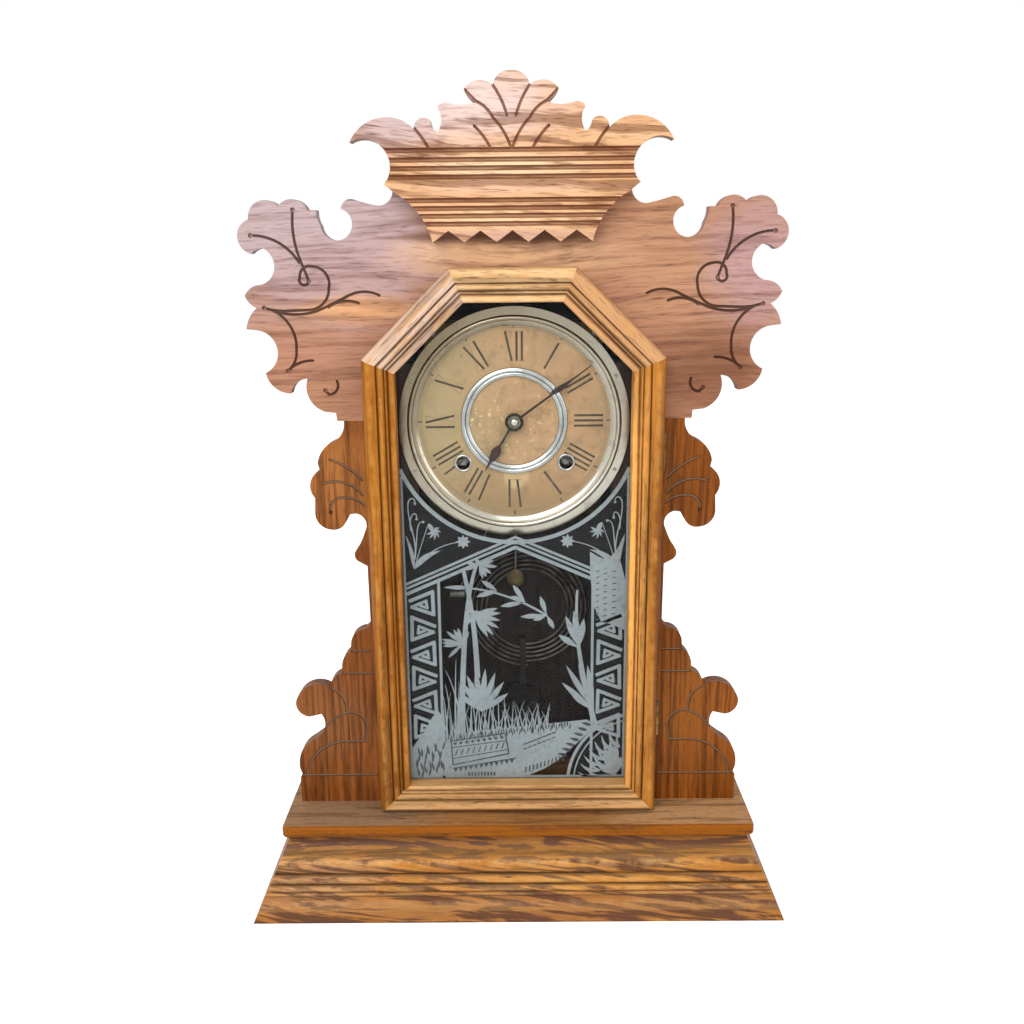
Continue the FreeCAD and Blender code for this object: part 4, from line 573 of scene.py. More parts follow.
@dataclass(frozen=True)
class InkFinish(Finish):
    """Printing ink or paint that has thinned and broken with age."""

    colour: Colour
    ground: Colour
    wear: float = 0.35
    cell: float = 420.0
    roughness: float = 0.6

    def shade(self, graph: Graph) -> None:
        """Let the ground show through the ink in fine breaks and in wide thin patches."""
        wear = graph.noise(graph.place, self.cell, 4.0, 0.65)
        cloud = graph.noise(graph.place, self.cell / 9, 3.0)
        colour = graph.stain(self.colour, self.ground, wear, 0.48, 0.8, self.wear * 2)
        colour = graph.stain(colour, self.ground, cloud, 0.4, 0.75, self.wear * 0.8)
        graph.shell(Base_Color=colour, Roughness=self.roughness, Specular_IOR_Level=0.2,
                    Normal=graph.bump(wear, 0.12, 0.0001))


@dataclass(frozen=True)
class GlassFinish(Finish):
    """Old flat glass: clear, faintly green, with slow waves and a little dust."""

    name: str = "old_flat_glass"

    def shade(self, graph: Graph) -> None:
        """Lay a mirroring film and a thin dust over a clear sheet."""
        waves = graph.noise(graph.place, (9.0, 9.0, 4.0), 1.0, 0.4)
        normal = graph.bump(waves, 0.25, 0.004)
        clear = graph.add("BsdfTransparent", {"Color": (0.95, 0.96, 0.955, 1.0)})
        gloss = graph.add("BsdfGlossy", {"Color": WHITE, "Roughness": 0.04, "Normal": normal})
        dust = graph.add("BsdfDiffuse", {"Color": (0.62, 0.64, 0.63, 1.0)})
        fresnel = graph.add("Fresnel", {"IOR": 1.45, "Normal": normal}).outputs[0]
        shiny = graph.blend(graph.times(fresnel, 0.16), clear, gloss)
        specks = graph.noise(graph.place, 240.0, 4.0, 0.7)
        graph.finish(graph.blend(graph.step(specks, 0.45, 0.85, 0.02), shiny, dust))


@dataclass(frozen=True)
class CentreNutFinish(Finish):
    """Dark collet with a brass heart and a bright domed nut, told apart by radius; the nut's pale
    middle is also a painted highlight.
    """

    name: str = "collet_and_nut"
    collet_edge: Point = (0.0038, 0.0043)
    nut_edge: Point = (0.0020, 0.0017)
    turning: float = 9000.0

    def shade(self, graph: Graph) -> None:
        """Step the colour of the turned metal at the edges of its parts."""
        radius = graph.radius(0.0, HUB_Z)
        cloud = graph.noise(graph.place, 500.0, 3.0, 0.6)
        colour = graph.mix(cloud, rgb(184, 178, 158), rgb(120, 112, 92))
        colour = graph.stain(colour, rgb(62, 58, 48), radius, *self.collet_edge)
        # Pale middle: bright steel nut with a painted highlight
        colour = graph.stain(colour, rgb(220, 216, 205), radius, *self.nut_edge)
        turned = graph.math("SINE", graph.times(radius, self.turning))
        graph.shell(Base_Color=colour, Metallic=1.0, Roughness=graph.times(cloud, 0.25, 0.16),
                    Normal=graph.bump(turned, 0.08, 0.0001))


@dataclass(frozen=True)
class FloorFinish(Finish):
    """Pale matt ground that looks white to the camera but lights the object softly."""

    name: str = "pale_floor"
    glow: float = 0.62

    def shade(self, graph: Graph) -> None:
        """Add a glow that only the camera sees to a faintly uneven matt white."""
        tint = graph.times(graph.noise(graph.place, 30.0, 3.0), 0.04, 0.80)
        plain = graph.add("BsdfDiffuse", {"Color": tint})
        glow = graph.add("Emission", {"Color": WHITE, "Strength": self.glow})
        both = graph.add("AddShader", {0: plain.outputs[0], 1: glow.outputs[0]})
        seen = graph.add("LightPath").outputs["Is Camera Ray"]
        graph.finish(graph.blend(seen, plain, both))


def dress(finish: Finish, *nodes: str) -> None:
    """Give CAD nodes a finish in place of their plain one.

    Args:
        finish: the finish.
        nodes: names of the CAD nodes.
    """
    material = finish.build()
    for name in nodes:
        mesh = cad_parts[name].data
        mesh.materials.clear()
        mesh.materials.append(material)
        LOG.info("%s wears %s", name, finish.name)


# Printed shapes


class Sheet:
    """Flat printed shapes, in millimetres across and up, that together are one piece."""

    stagger = 0.05
    stagger_steps = 16
    leaf_points = 14
    leaf_tip = 0.06
    dot_corners = 12
    heart_share = 0.3
    petal_root = 0.5
    petal_half = 1.15

    def __init__(self, y: float, thickness: float) -> None:
        """Set the depth of the print.

        Args:
            y: depth of its front face.
            thickness: ink thickness.
        """
        self.y = y
        self.thickness = thickness
        self.vertices: list[np.ndarray] = []
        self.faces: list[list[int]] = []
        self.count = 0

    def take(self, vertices: np.ndarray, faces: Iterable[Sequence[int]]) -> None:
        """Add a shape's vertices and faces, a hair behind the last so that none coincide."""
        steps = len(self.vertices) % self.stagger_steps
        vertices[:, 1] += self.thickness * self.stagger * steps
        self.faces += [[int(corner) + self.count for corner in face] for face in faces]
        self.vertices.append(vertices)
        self.count += len(vertices)

    def draw(self, table: Iterable[tuple]) -> None:
        """Draw each row of a table: the name of a shape's method, then what it takes."""
        for shape, *values in table:
            getattr(self, shape)(*values)

    def line(self, points: Sequence[Point], half: object) -> None:
        """Add a flat strip along a line, as a thin closed solid.

        Formula: each point is set off by plus and minus its half width along the line's
        normal, on the front plane and on the plane one thickness behind it.

        Args:
            points: the line's points.
            half: one half width, or one for each point.
        """
        line = np.asarray(points, float)
        count = len(line)
        slope = np.gradient(line, axis=0)
        slope /= np.maximum(np.linalg.norm(slope, axis=1, keepdims=True), 1e-9)
        width = np.broadcast_to(np.asarray(half, float), (count,))
        normal = np.stack([-slope[:, 1], slope[:, 0]], axis=1) * width[:, None]
        rails = [np.insert(line + side * normal, 1, depth, axis=1)
                 for depth in (self.y, self.y + self.thickness) for side in (1, -1)]
        step = np.arange(count - 1)
        faces = [np.stack([a * count + step, b * count + step, b * count + step + 1,
                           a * count + step + 1], axis=1)
                 for a, b in ((0, 1), (3, 2), (2, 0), (1, 3))]
        start = np.array([0, 2, 3, 1]) * count
        end = np.array([1, 2, 4, 3]) * count - 1
        self.take(np.vstack(rails), np.vstack([*faces, start, end]).tolist())

    def fill(self, outline: Sequence[Point]) -> None:
        """Add a filled outline, as front and back faces and a rim."""
        flat = np.asarray(outline, float)
        count = len(flat)
        ahead = np.roll(flat, -1, axis=0)
        area = np.sum(flat[:, 0] * ahead[:, 1] - ahead[:, 0] * flat[:, 1])
        order = list(range(count)) if area > 0 else list(range(count - 1, -1, -1))
        faces = [order, [corner + count for corner in reversed(order)]]
        for here, there in zip(order, order[1:] + order[:1]):
            faces.append([there, here, here + count, there + count])
        front = np.insert(flat, 1, self.y, axis=1)
        self.take(np.vstack([front, front + (0.0, self.thickness, 0.0)]), faces)

    def curve(self, points: Sequence[Point], half: float, taper: float = 1.0,
              count: int = 24) -> None:
        """Add a strip along a smooth curve through control points.

        Formula: a Bezier curve of the points' own degree, its half width falling to taper
        times itself at the end.

        Args:
            points: control points.
            half: half width at the start.
            taper: share of the width that is left at the end.
            count: points along the curve.
        """
        share = np.linspace(0, 1, count)[:, None]
        rows = [np.tile(np.asarray(point, float), (count, 1)) for point in points]
        while len(rows) > 1:
            rows = [a * (1 - share) + b * share for a, b in zip(rows, rows[1:])]
        self.line(rows[0], half * (1 + (taper - 1) * share[:, 0]))

    def leaf(self, base: Point, tip: Point, half: float, bend: float = 0.0,
             belly: float = 0.75) -> None:
        """Add a pointed leaf.

        Formula: the half width is a sine bulge, and the spine bows aside by another.

        Args:
            base: where it grows.
            tip: its point.
            half: largest half width.
            bend: sideways bow, as a share of its length.
            belly: over one moves the widest place toward the tip.
        """
        share = np.linspace(0, 1, self.leaf_points)
        run = np.subtract(tip, base)
        side = np.array([-run[1], run[0]]) * bend
        spine = base + share[:, None] * run + np.sin(math.pi * share)[:, None] * side
        self.line(spine, half * np.sin(math.pi * share ** belly) + self.leaf_tip)

    def spray(self, root: Point, half: float, tips: Sequence[Point]) -> None:
        """Add pointed leaves from one root to each tip."""
        for tip in tips:
            self.leaf(root, tip, half, belly=1.25)

    def arc(self, centre: Point, radius: float, start: float, end: float, half: float,
            count: int) -> None:
        """Add a strip along part of a circle; angles in degrees from the right, anticlockwise."""
        angle = np.radians(np.linspace(start, end, count))
        self.line(np.add(centre, radius * np.column_stack([np.cos(angle), np.sin(angle)])), half)

    def dot(self, centre: Point, radius: float) -> None:
        """Add a small round dot."""
        self.fill([polar(centre, radius, angle)
                   for angle in np.linspace(0, 2 * math.pi, self.dot_corners, endpoint=False)])

    def blossom(self, centre: Point, reach: float, petals: int) -> None:
        """Add a round blossom of separate petals round a solid heart."""
        self.dot(centre, reach * self.heart_share)
        for index in range(petals):
            angle = 2 * math.pi * index / petals
            self.leaf(polar(centre, self.petal_root, angle), polar(centre, reach, angle),
                      self.petal_half)

    def row(self, count: int, start: Point, step: Point, *strokes: Sequence[float]) -> None:
        """Repeat straight strokes at even steps.

        Args:
            count: how many times.
            start: the first place.
            step: from one place to the next.
            strokes: from and to, as four numbers beside the place, and a half width.
        """
        for index in range(count):
            x, z = start[0] + step[0] * index, start[1] + step[1] * index
            for from_x, from_z, to_x, to_z, half in strokes:
                self.line(((x + from_x, z + from_z), (x + to_x, z + to_z)), half)

    def piece(self, name: str, body: str, finish: Finish, slot: str = "dial_print") -> None:
        """Make one object of all the shapes.

        Args:
            name: the piece's name.
            body: the body that carries it.
            finish: its ink.
            slot: not used.
        """
        mesh = bpy.data.meshes.new(name)
        mesh.from_pydata((np.vstack(self.vertices) * MM).tolist(), [], self.faces)
        mesh.validate()
        mesh.update()
        mesh.materials.append(finish.build())
        made = bpy.data.objects.new(name, mesh)
        bpy.context.scene.collection.objects.link(made)
        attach(made, body)
        LOG.info("%s: %d faces on %s", name, len(self.faces), body)


def polar(centre: Point, reach: float, angle: float) -> Point:
    """The place at a distance and an angle in radians from a centre."""
    return centre[0] + reach * math.cos(angle), centre[1] + reach * math.sin(angle)


# Stage


@dataclass
class Studio:
    """Camera at the photograph's view, pale floor, and soft plain light."""

    camera_place: Triple = (1.63, -673.77, 453.9)
    camera_turn: Triple = (-0.32, 14.5, -0.56)
    focal_share: float = 1009.44 / IMAGE_SIDE
    sensor_width: float = 36.0
    clip: Point = (0.01, 50.0)
    floor_side: float = 6.0
    world_strength: float = 0.62
    lamps: tuple = (("key", (-0.55, -1.5, 1.45), (0.0, 0.0, 0.28), 1.5, 26.0),
                    ("fill_right", (1.5, -1.1, 0.8), (0.0, 0.0, 0.25), 1.2, 9.0),
                    ("rim_left", (-1.6, 0.6, 1.0), (0.0, 0.0, 0.3), 1.0, 8.0))

    def build(self) -> None:
        """Make the camera, the floor, the lamps and the world."""
        self.camera()
        self.floor()
        for lamp in self.lamps:
            self.lamp(*lamp)
        self.world()
        bpy.context.scene.view_settings.view_transform = "Standard"

    def add(self, name: str, data: bpy.types.ID) -> bpy.types.Object:
        """Put an object with this data into the scene."""
        made = bpy.data.objects.new(name, data)
        bpy.context.scene.collection.objects.link(made)
        return made

    def camera(self) -> None:
        """Aim a camera of the photograph's focal length by yaw, pitch and roll in degrees."""
        data = bpy.data.cameras.new("camera")
        data.sensor_width = self.sensor_width
        data.lens = self.focal_share * self.sensor_width
        data.clip_start, data.clip_end = self.clip
        yaw, pitch, roll = (math.radians(turn) for turn in self.camera_turn)
        ahead = Vector((math.sin(yaw) * math.cos(pitch), math.cos(yaw) * math.cos(pitch),
                        -math.sin(pitch)))
        side = Vector((math.cos(yaw), -math.sin(yaw), 0.0))
        above = side.cross(ahead)
        right = side * math.cos(roll) + above * math.sin(roll)
        top = -side * math.sin(roll) + above * math.cos(roll)
        turn = Matrix((right, top, -ahead)).transposed().to_4x4()
        turn.translation = Vector(self.camera_place) * MM
        camera = self.add("camera", data)
        camera.matrix_world = turn
        bpy.context.scene.camera = camera

    def floor(self) -> None:
        """Lay a pale floor that shows white to the eye and keeps the object's shadow."""
        half = self.floor_side / 2
        mesh = bpy.data.meshes.new("floor")
        mesh.from_pydata([(-half, -half, 0), (half, -half, 0), (half, half, 0),
                          (-half, half, 0)], [], [(0, 1, 2, 3)])
        mesh.materials.append(FloorFinish().build())
        floor = self.add("floor", mesh)

    def lamp(self, name: str, place: Triple, target: Triple, side: float,
             power: float) -> None:
        """Hang one square lamp.

        Args:
            name: the lamp's name.
            place: where it hangs, in metres.
            target: what it points at.
            side: its side length.
            power: its power in watts.
        """
        data = bpy.data.lights.new(name, "AREA")
        data.size = side
        data.energy = power
        lamp = self.add(name, data)
        lamp.location = place
        aim = Vector(target) - Vector(place)
        lamp.rotation_euler = aim.to_track_quat("-Z", "Y").to_euler()

    def world(self) -> None:
        """Light the scene evenly, and show white behind it and in what mirrors it."""
        world = bpy.data.worlds.new("studio")
        graph = Graph(world)
        rays = graph.add("LightPath").outputs
        sharp = graph.math("MAXIMUM", rays["Is Glossy Ray"], rays["Is Transmission Ray"])
        seen = graph.math("MAXIMUM", rays["Is Camera Ray"], sharp)
        soft = graph.add("Background", {"Color": (0.96, 0.98, 1.0, 1.0),
                                        "Strength": self.world_strength})
        white = graph.add("Background", {"Color": WHITE, "Strength": 1.0})
        graph.finish(graph.blend(seen, soft, white), "World")
        bpy.context.scene.world = world


# Wood

# Base front: quirks darkened, grime with painted shade; ridges paler, wear with a painted
# highlight; upward faces painted lighter and downward faces darker
BASE_FRONT = OakFinish(
    "oak_base_front", Grain.ACROSS, rgb(216, 147, 66), rgb(176, 111, 44), rgb(96, 62, 46),
    figure_scale=(13.0, 260.0), figure_edge=(0.47, 0.56), figure_strength=0.9,
    pore_scale=(80.0, 1000.0), pore_strength=0.5, bend=0.016, lean=-8.0,
    shift=(0.2, 0.0, 0.34), roughness=0.30, relief=0.3, grime_and_shade=0.95,
    grime_and_shade_colour=rgb(62, 38, 30), wear_and_highlight_colour=rgb(232, 180, 112),
    quirk=((0.0, 0.0), (0.0, 1.0)), quirk_width=54.1,
    quirk_grime_and_shade_stops=((0.0, 0.5), (0.03, 0.0), (0.29, 0.0), (0.305, 0.8), (0.325, 0.0),
                 (0.345, 0.0), (0.358, 0.85), (0.372, 0.0), (0.435, 0.0), (0.45, 0.85),
                 (0.465, 0.0), (0.55, 0.0), (0.572, 0.9), (0.592, 0.0), (0.77, 0.0),
                 (0.795, 0.5), (0.82, 0.1), (1.0, 0.45)),
    wear_and_highlight_stops=((0.0, 0.0), (0.16, 0.0), (0.21, 0.25), (0.27, 0.0), (0.33, 0.3), (0.35, 0.0),
                (0.38, 0.1), (0.41, 0.35), (0.45, 0.0), (0.52, 0.35), (0.55, 0.0),
                (0.66, 0.1), (0.74, 0.5), (0.77, 0.0), (1.0, 0.0)),
    washes=(Wash(-140, 26, 60, 26, rgb(160, 128, 108), 0.45),
            Wash(30, 30, 90, 12, rgb(206, 144, 72), 0.5),
            Wash(130, 12, 60, 14, rgb(176, 124, 80), 0.5),
            Wash(0, 10, 260, 14, rgb(150, 102, 66), 0.6),
            Wash(0, 48, 300, 8, rgb(150, 98, 46), 0.6)))

BASE_SIDE = OakFinish(
    "oak_base_side", Grain.BACKWARD, rgb(180, 122, 66), rgb(144, 92, 44), rgb(96, 62, 46),
    figure_scale=(12.0, 180.0), figure_edge=(0.48, 0.60), pore_scale=(80.0, 900.0),
    shift=(0.2, 0.3, 0.5), roughness=0.45)

DECK = OakFinish(
    "oak_deck", Grain.ACROSS, rgb(178, 126, 74), rgb(146, 100, 56), rgb(78, 50, 32),
    figure_scale=(9.0, 170.0), figure_strength=0.45, bend=0.006, shift=(0.4, 0.0, 0.1),
    roughness=0.5, edge_colour=rgb(151, 84, 12),
    washes=(Wash(-120, 62, 80, 60, rgb(146, 120, 96), 0.7),
            Wash(120, 62, 70, 60, rgb(206, 162, 116), 0.6)))

# Among the wing washes, the pale mauve patches toward the top, strongest at the upper left, are a
# painted sheen of light on the varnish; the dark strip at 463.5 just under the crown's teeth is a
# painted shadow; the brown patch at the lower right is painted shade
WINGS = OakFinish(
    "oak_wings", Grain.ACROSS, rgb(191, 142, 111), rgb(171, 120, 90), rgb(104, 62, 46),
    figure_scale=(10.0, 240.0), figure_edge=(0.46, 0.64), figure_strength=0.42,
    pore_scale=(75.0, 1000.0), pore_strength=0.55, bend=0.010, lean=1.5,
    front_y=BOARD_FRONT_Y, grime_and_shade=0.95,
    washes=(Wash(-130, 480, 120, 90, rgb(190, 169, 173), 0.85),
            Wash(-110, 440, 60, 40, rgb(182, 150, 147), 0.6),
            Wash(-102, 418, 50, 12, rgb(226, 166, 112), 0.8),
            Wash(-140, 388, 60, 30, rgb(180, 128, 104), 0.6),
            Wash(0, 452, 90, 20, rgb(236, 188, 144), 0.8),
            Wash(0, 463.5, 84, 6, rgb(104, 66, 48), 0.85),
            Wash(90, 450, 50, 60, rgb(191, 142, 108), 0.6),
            Wash(158, 448, 46, 62, rgb(186, 150, 150), 0.75),
            Wash(130, 374, 62, 42, rgb(133, 86, 62), 0.85)))

# Among the crown washes, the pale mauve patches at the upper left are a painted sheen of light on
# the varnish
CROWN = OakFinish(
    "oak_crown", Grain.ACROSS, rgb(242, 194, 148), rgb(216, 164, 120), rgb(108, 62, 38),
    figure_scale=(13.0, 190.0), figure_edge=(0.49, 0.60), pore_scale=(80.0, 900.0),
    pore_strength=0.65, lean=-4.0, shift=(0.7, 0.0, 0.2), relief=0.5,
    front_y=CROWN_FRONT_Y, grime_and_shade=0.88, grime_and_shade_colour=rgb(104, 52, 26),
    washes=(Wash(-50, 542, 104, 36, rgb(228, 204, 198), 0.8),
            Wash(-80, 528, 50, 22, rgb(188, 162, 160), 0.7),
            Wash(0, 505, 60, 10, rgb(246, 214, 172), 0.75),
            Wash(0, 492, 80, 6, rgb(236, 190, 160), 0.55),
            Wash(0, 473, 80, 9, rgb(255, 204, 158), 0.85),
            Wash(0, 462, 70, 8, rgb(196, 158, 142), 0.7)))

SIDE_BOARD = {
    "grain": Grain.UPRIGHT, "figure_scale": (9.0, 330.0), "figure_edge": (0.47, 0.60),
    "figure_strength": 0.5, "pore_scale": (70.0, 1000.0), "pore_strength": 0.5,
    "bend": 0.005, "roughness": 0.38, "front_y": BOARD_FRONT_Y, "grime_and_shade": 0.85,
    "grime_and_shade_colour": rgb(40, 20, 8), "dust": 0.35,
    "washes": (Wash(-118, 305, 40, 45, rgb(182, 116, 60), 0.7),
               Wash(-140, 130, 50, 40, rgb(148, 96, 58), 0.5),
               Wash(120, 140, 40, 50, rgb(158, 94, 38), 0.5))}

# Door rails: quirks darkened, grime with painted shade; ridges paler, wear with a painted
# highlight; upward faces painted lighter and downward faces darker
RAIL = {
    "figure_scale": (6.0, 150.0), "figure_edge": (0.50, 0.66), "figure_strength": 0.5,
    "pore_scale": (110.0, 900.0), "bend": 0.004, "roughness": 0.36, "relief": 0.45,
    "grime_and_shade": 0.85, "grime_and_shade_colour": rgb(50, 26, 10), "wear_and_highlight_colour": rgb(218, 156, 80),
    "quirk_grime_and_shade_stops": ((0.0, 0.45), (0.06, 0.05), (0.41, 0.0), (0.445, 1.0), (0.47, 0.1),
                    (0.64, 0.1), (0.67, 0.85), (0.70, 0.15), (0.755, 0.3), (0.785, 1.0),
                    (0.82, 0.1), (0.97, 0.0), (1.0, 0.35)),
    "wear_and_highlight_stops": ((0.0, 0.0), (0.12, 0.1), (0.2, 0.5), (0.3, 0.15), (0.42, 0.0),
                   (0.5, 0.25), (0.56, 0.5), (0.62, 0.1), (0.72, 0.3), (0.8, 0.0),
                   (0.88, 0.45), (0.96, 0.3), (1.0, 0.0))}


def dress_case() -> None:
    """Dress the base, the front boards and the softwood box behind them."""
    dress(BASE_FRONT, "base_front_moulding")
    dress(DECK, "deck_board")
    dress(BASE_SIDE, "base_side_left", "base_side_right")
    dress(WINGS, "top_board")
    dress(CROWN, "crown_board")
    for side, pale, mid, dark, shift in (
            ("left", rgb(156, 92, 42), rgb(126, 69, 26), rgb(60, 30, 13), (0.1, 0.0, 0.3)),
            ("right", rgb(158, 90, 32), rgb(124, 66, 18), rgb(58, 28, 10), (0.4, 0.0, 0.1))):
        dress(OakFinish("oak_side_" + side, pale=pale, mid=mid, dark=dark, shift=shift,
                        **SIDE_BOARD), "side_board_" + side)
    stained = (rgb(104, 62, 36), rgb(62, 36, 22))
    dress(SoftwoodFinish("case_side_wood", Grain.UPRIGHT, *stained),
          "case_side_left", "case_side_right")
    dress(SoftwoodFinish("case_top_wood", Grain.ACROSS, *stained), "case_top")
    # Back board: a dark stain, darkened further as painted shade of the closed case
    dress(SoftwoodFinish("back_board_stain_and_shade", Grain.UPRIGHT, rgb(42, 26, 22), rgb(24, 15, 13)),
          "back_board")
    dress(SoftwoodFinish("batten_wood", Grain.UPRIGHT, rgb(70, 46, 32), rgb(44, 28, 22)),
          "case_battens")
    dress(SoftwoodFinish("glue_block_wood", Grain.ACROSS, rgb(196, 162, 116),
                         rgb(150, 112, 72)), "glue_blocks")


class Rail(NamedTuple):
    """One rail of the door: its grain, outer edge and inward direction, and how far it is painted
    toward a paler colour where it faces the light.
    """

    grain: Grain
    start: Point
    inward: Point
    fade: float
    lit_colour: Colour


@dataclass
class Door:
    """Six mitred rails, glass, putty and hinges."""

    pale: Colour = rgb(184, 116, 36)
    mid: Colour = rgb(148, 86, 22)
    dark: Colour = rgb(70, 36, 12)
    half: float = 98.3
    bottom: float = 62.8
    shoulder: float = 387.0
    half_top: float = 40.3
    top: float = 443.8
    # Painted light on the right stile: a pale band down its inner part is a painted highlight,
    # and a dark band at its outer edge is a painted shadow
    lights: tuple[Wash, ...] = (Wash(80, 230, 11, 220, rgb(254, 182, 96), 0.95),
                                Wash(99, 230, 10, 220, rgb(122, 66, 18), 0.9))

    def rails(self) -> dict[str, Rail]:
        """Each rail by name; those that face the light are paler."""
        run = self.half - self.half_top
        climb = self.top - self.shoulder
        slant = math.hypot(run, climb)
        across, down = climb / slant, -run / slant
        return {
            "stile_left": Rail(Grain.UPRIGHT, (-self.half, self.bottom), (1.0, 0.0), 0.0,
                               self.pale),
            "stile_right": Rail(Grain.UPRIGHT, (self.half, self.bottom), (-1.0, 0.0), 0.5,
                                rgb(216, 144, 64)),
            "rail_bottom": Rail(Grain.ACROSS, (0.0, self.bottom), (0.0, 1.0), 0.95,
                                rgb(222, 176, 122)),
            "rail_top": Rail(Grain.ACROSS, (0.0, self.top), (0.0, -1.0), 1.0,
                             rgb(248, 204, 150)),
            "diagonal_left": Rail(Grain.LEFT_SLANT, (-self.half, self.shoulder),
                                  (across, down), 1.0, rgb(240, 206, 180)),
            "diagonal_right": Rail(Grain.RIGHT_SLANT, (self.half, self.shoulder),
                                   (-across, down), 0.75, rgb(232, 180, 132)),
        }

    def dress(self) -> None:
        """Run each rail's grain along it, paint the rails that face the light paler, and darken
        the quirks of its moulding, grime with painted shade in it.
        """
        for index, (name, rail) in enumerate(self.rails().items()):
            # Rails that face the light get a paler, painted-light copy of the same oak
            pale, mid = (tuple(a + (b - a) * fade for a, b in zip(plain, rail.lit_colour))
                         for plain, fade in ((self.pale, rail.fade),
                                             (self.mid, rail.fade * 0.8)))
            # The right stile also gets its painted highlight and painted shadow
            washes = self.lights if name == "stile_right" else ()
            dress(OakFinish("oak_door_" + name, rail.grain, pale, mid, self.dark,
                            quirk=(rail.start, rail.inward), washes=washes,
                            shift=(0.13 * index, 0.02 * index, 0.21 * index), **RAIL),
                  "door_" + name)
        dress(GlassFinish(), "door_glass")
        dress(SoftwoodFinish("dry_putty", Grain.ACROSS, rgb(150, 132, 104), rgb(112, 94, 72),
                             0.85), "glazing_putty")
        dress(MetalFinish("hinge_brass", rgb(176, 146, 88), rgb(96, 76, 46), 0.5),
              "hinge_case_leaves", "hinge_door_leaves", "door_catch")
        dress(MetalFinish("hinge_steel", rgb(150, 148, 142), rgb(84, 76, 68), 0.4),
              "hinge_pins")


# Print on the glass: each row names a shape of a sheet and gives its places and half widths

SPANDREL_STEMS = (
    (((-69.0, 250), (-66, 264), (-73.5, 276), (-72.3, 289)), 0.55),
    (((-72.3, 289), (-71.5, 294.5), (-67.0, 293.5), (-67.6, 289.5)), 0.5),
    (((-70.6, 270), (-73.5, 282), (-65.8, 286), (-66.8, 278.5)), 0.5),
    (((-69.0, 250), (-66, 268), (-68, 276), (-62.6, 276.6)), 0.45),
    (((-69.0, 244), (-66, 256), (-62, 266), (-58.8, 275.3)), 0.35),
    (((-69.0, 244), (-60, 256), (-48, 261), (-38, 262)), 0.45))

BAMBOO = (
    ("curve", ((-36.0, 243), (-33.0, 226), (-29.5, 210), (-28.4, 190), (-27.5, 162)),
     1.3, 1.5, 40),
    ("curve", ((-27.0, 245), (-33.4, 226), (-35.6, 204), (-38.5, 170), (-39.4, 112)),
     1.1, 2.0, 48),
    ("curve", ((-47.3, 229.4), (-30, 230.5), (-10, 226), (6.5, 218.5), (21.7, 208.1)),
     0.6, 1.4, 40),
    ("leaf", (-33.0, 229.2), (-49.5, 229.6), 1.5),
    ("spray", (-25.0, 245.4), 1.2,
     ((-33.8, 247.2), (-34.8, 242.2), (-15.0, 248.8), (-12.6, 244.2), (-16.6, 239.2),
      (-22.6, 235.8), (-20.0, 237.0), (-27.2, 250.6))),
    ("spray", (-29.6, 209.5), 1.6,
     ((-10.6, 210.4), (-11.0, 205.0), (-12.0, 199.4), (-15.6, 194.2), (-19.6, 192.8),
      (-12.8, 214.0), (-36.6, 200.6), (-35.0, 206.6))),
    ("fill", ((-30.0, 212.4), (-20.5, 211.8), (-17.6, 206.4), (-20.8, 201.2),
              (-29.0, 206.4))),
    ("spray", (-37.8, 187.6), 1.25,
     ((-48.6, 197.4), (-52.0, 191.4), (-51.4, 186.2), (-47.8, 177.6), (-40.6, 199.6),
      (-33.0, 197.2), (-43.6, 198.6), (-52.0, 188.8))),
    ("dot", (-38.6, 188.0), 3.4),
    ("spray", (-12.8, 226.9), 1.7, ((-23.4, 234.2), (-27.4, 222.6), (-21.5, 224.4))),
    ("spray", (6.5, 218.5), 1.7, ((-2.0, 231.0), (-10.8, 215.4), (-3.6, 222.6))),
    ("spray", (21.4, 208.6), 1.7,
     ((16.8, 222.6), (3.0, 207.6), (12.0, 205.0), (26.4, 198.6))))

RIGHT_STEM = (
    ("curve", ((42.4, 227), (41.0, 200), (43.0, 176), (50.0, 150), (56.4, 122)),
     0.8, 2.6, 40),
    ("spray", (44.0, 184.0), 2.2,
     ((34.4, 208.0), (40.2, 212.0), (29.5, 194.0), (47.2, 206.0))),
    ("spray", (55.0, 136.0), 2.0,
     ((35.0, 171.0), (43.6, 172.0), (50.0, 171.0), (32.0, 158.0), (38.0, 150.0))),
    ("fill", ((50.9, 254.5), (57.3, 250.6), (62.8, 248.4), (68.2, 254.1), (74.6, 264.7),
              (71.7, 248.4), (75.4, 233.9), (75.4, 197.3), (66.2, 201.8), (59.3, 203.3),
              (54.3, 214.4), (51.3, 237.0))))

BANK = (
    ("fill", ((-52, 84.5), (-52, 116), (-30, 121), (0, 124), (28, 127), (50.2, 129.4),
              (56.0, 124), (42.0, 110), (30.0, 98), (20.0, 91), (6, 84.5))),
    ("fill", ((-75.4, 84.5), (-75.4, 108), (-70, 116), (-66, 121), (-60.5, 132),
              (-56, 137), (-52, 130), (-52, 84.5))),
    ("spray", (-25.0, 136.0), 2.0,
     ((-38.0, 158.0), (-35.0, 164.0), (-29.0, 168.0), (-22.0, 169.0), (-15.0, 166.0),
      (-9.0, 159.0), (-41.0, 150.0), (-6.0, 150.0))))

PANEL = (
    ("line", ((-47.4, 113.3), (-8.5, 119.0)), 0.5),
    ("line", ((-8.5, 119.0), (-6.0, 103.0)), 0.5),
    ("line", ((-6.0, 103.0), (-46.4, 94.4)), 0.5),
    ("line", ((-46.4, 94.4), (-47.4, 113.3)), 0.5),
    ("line", ((-46.8, 108.0), (-7.6, 113.4)), 0.35),
    ("line", ((-46.6, 99.4), (-7.0, 106.2)), 0.35))

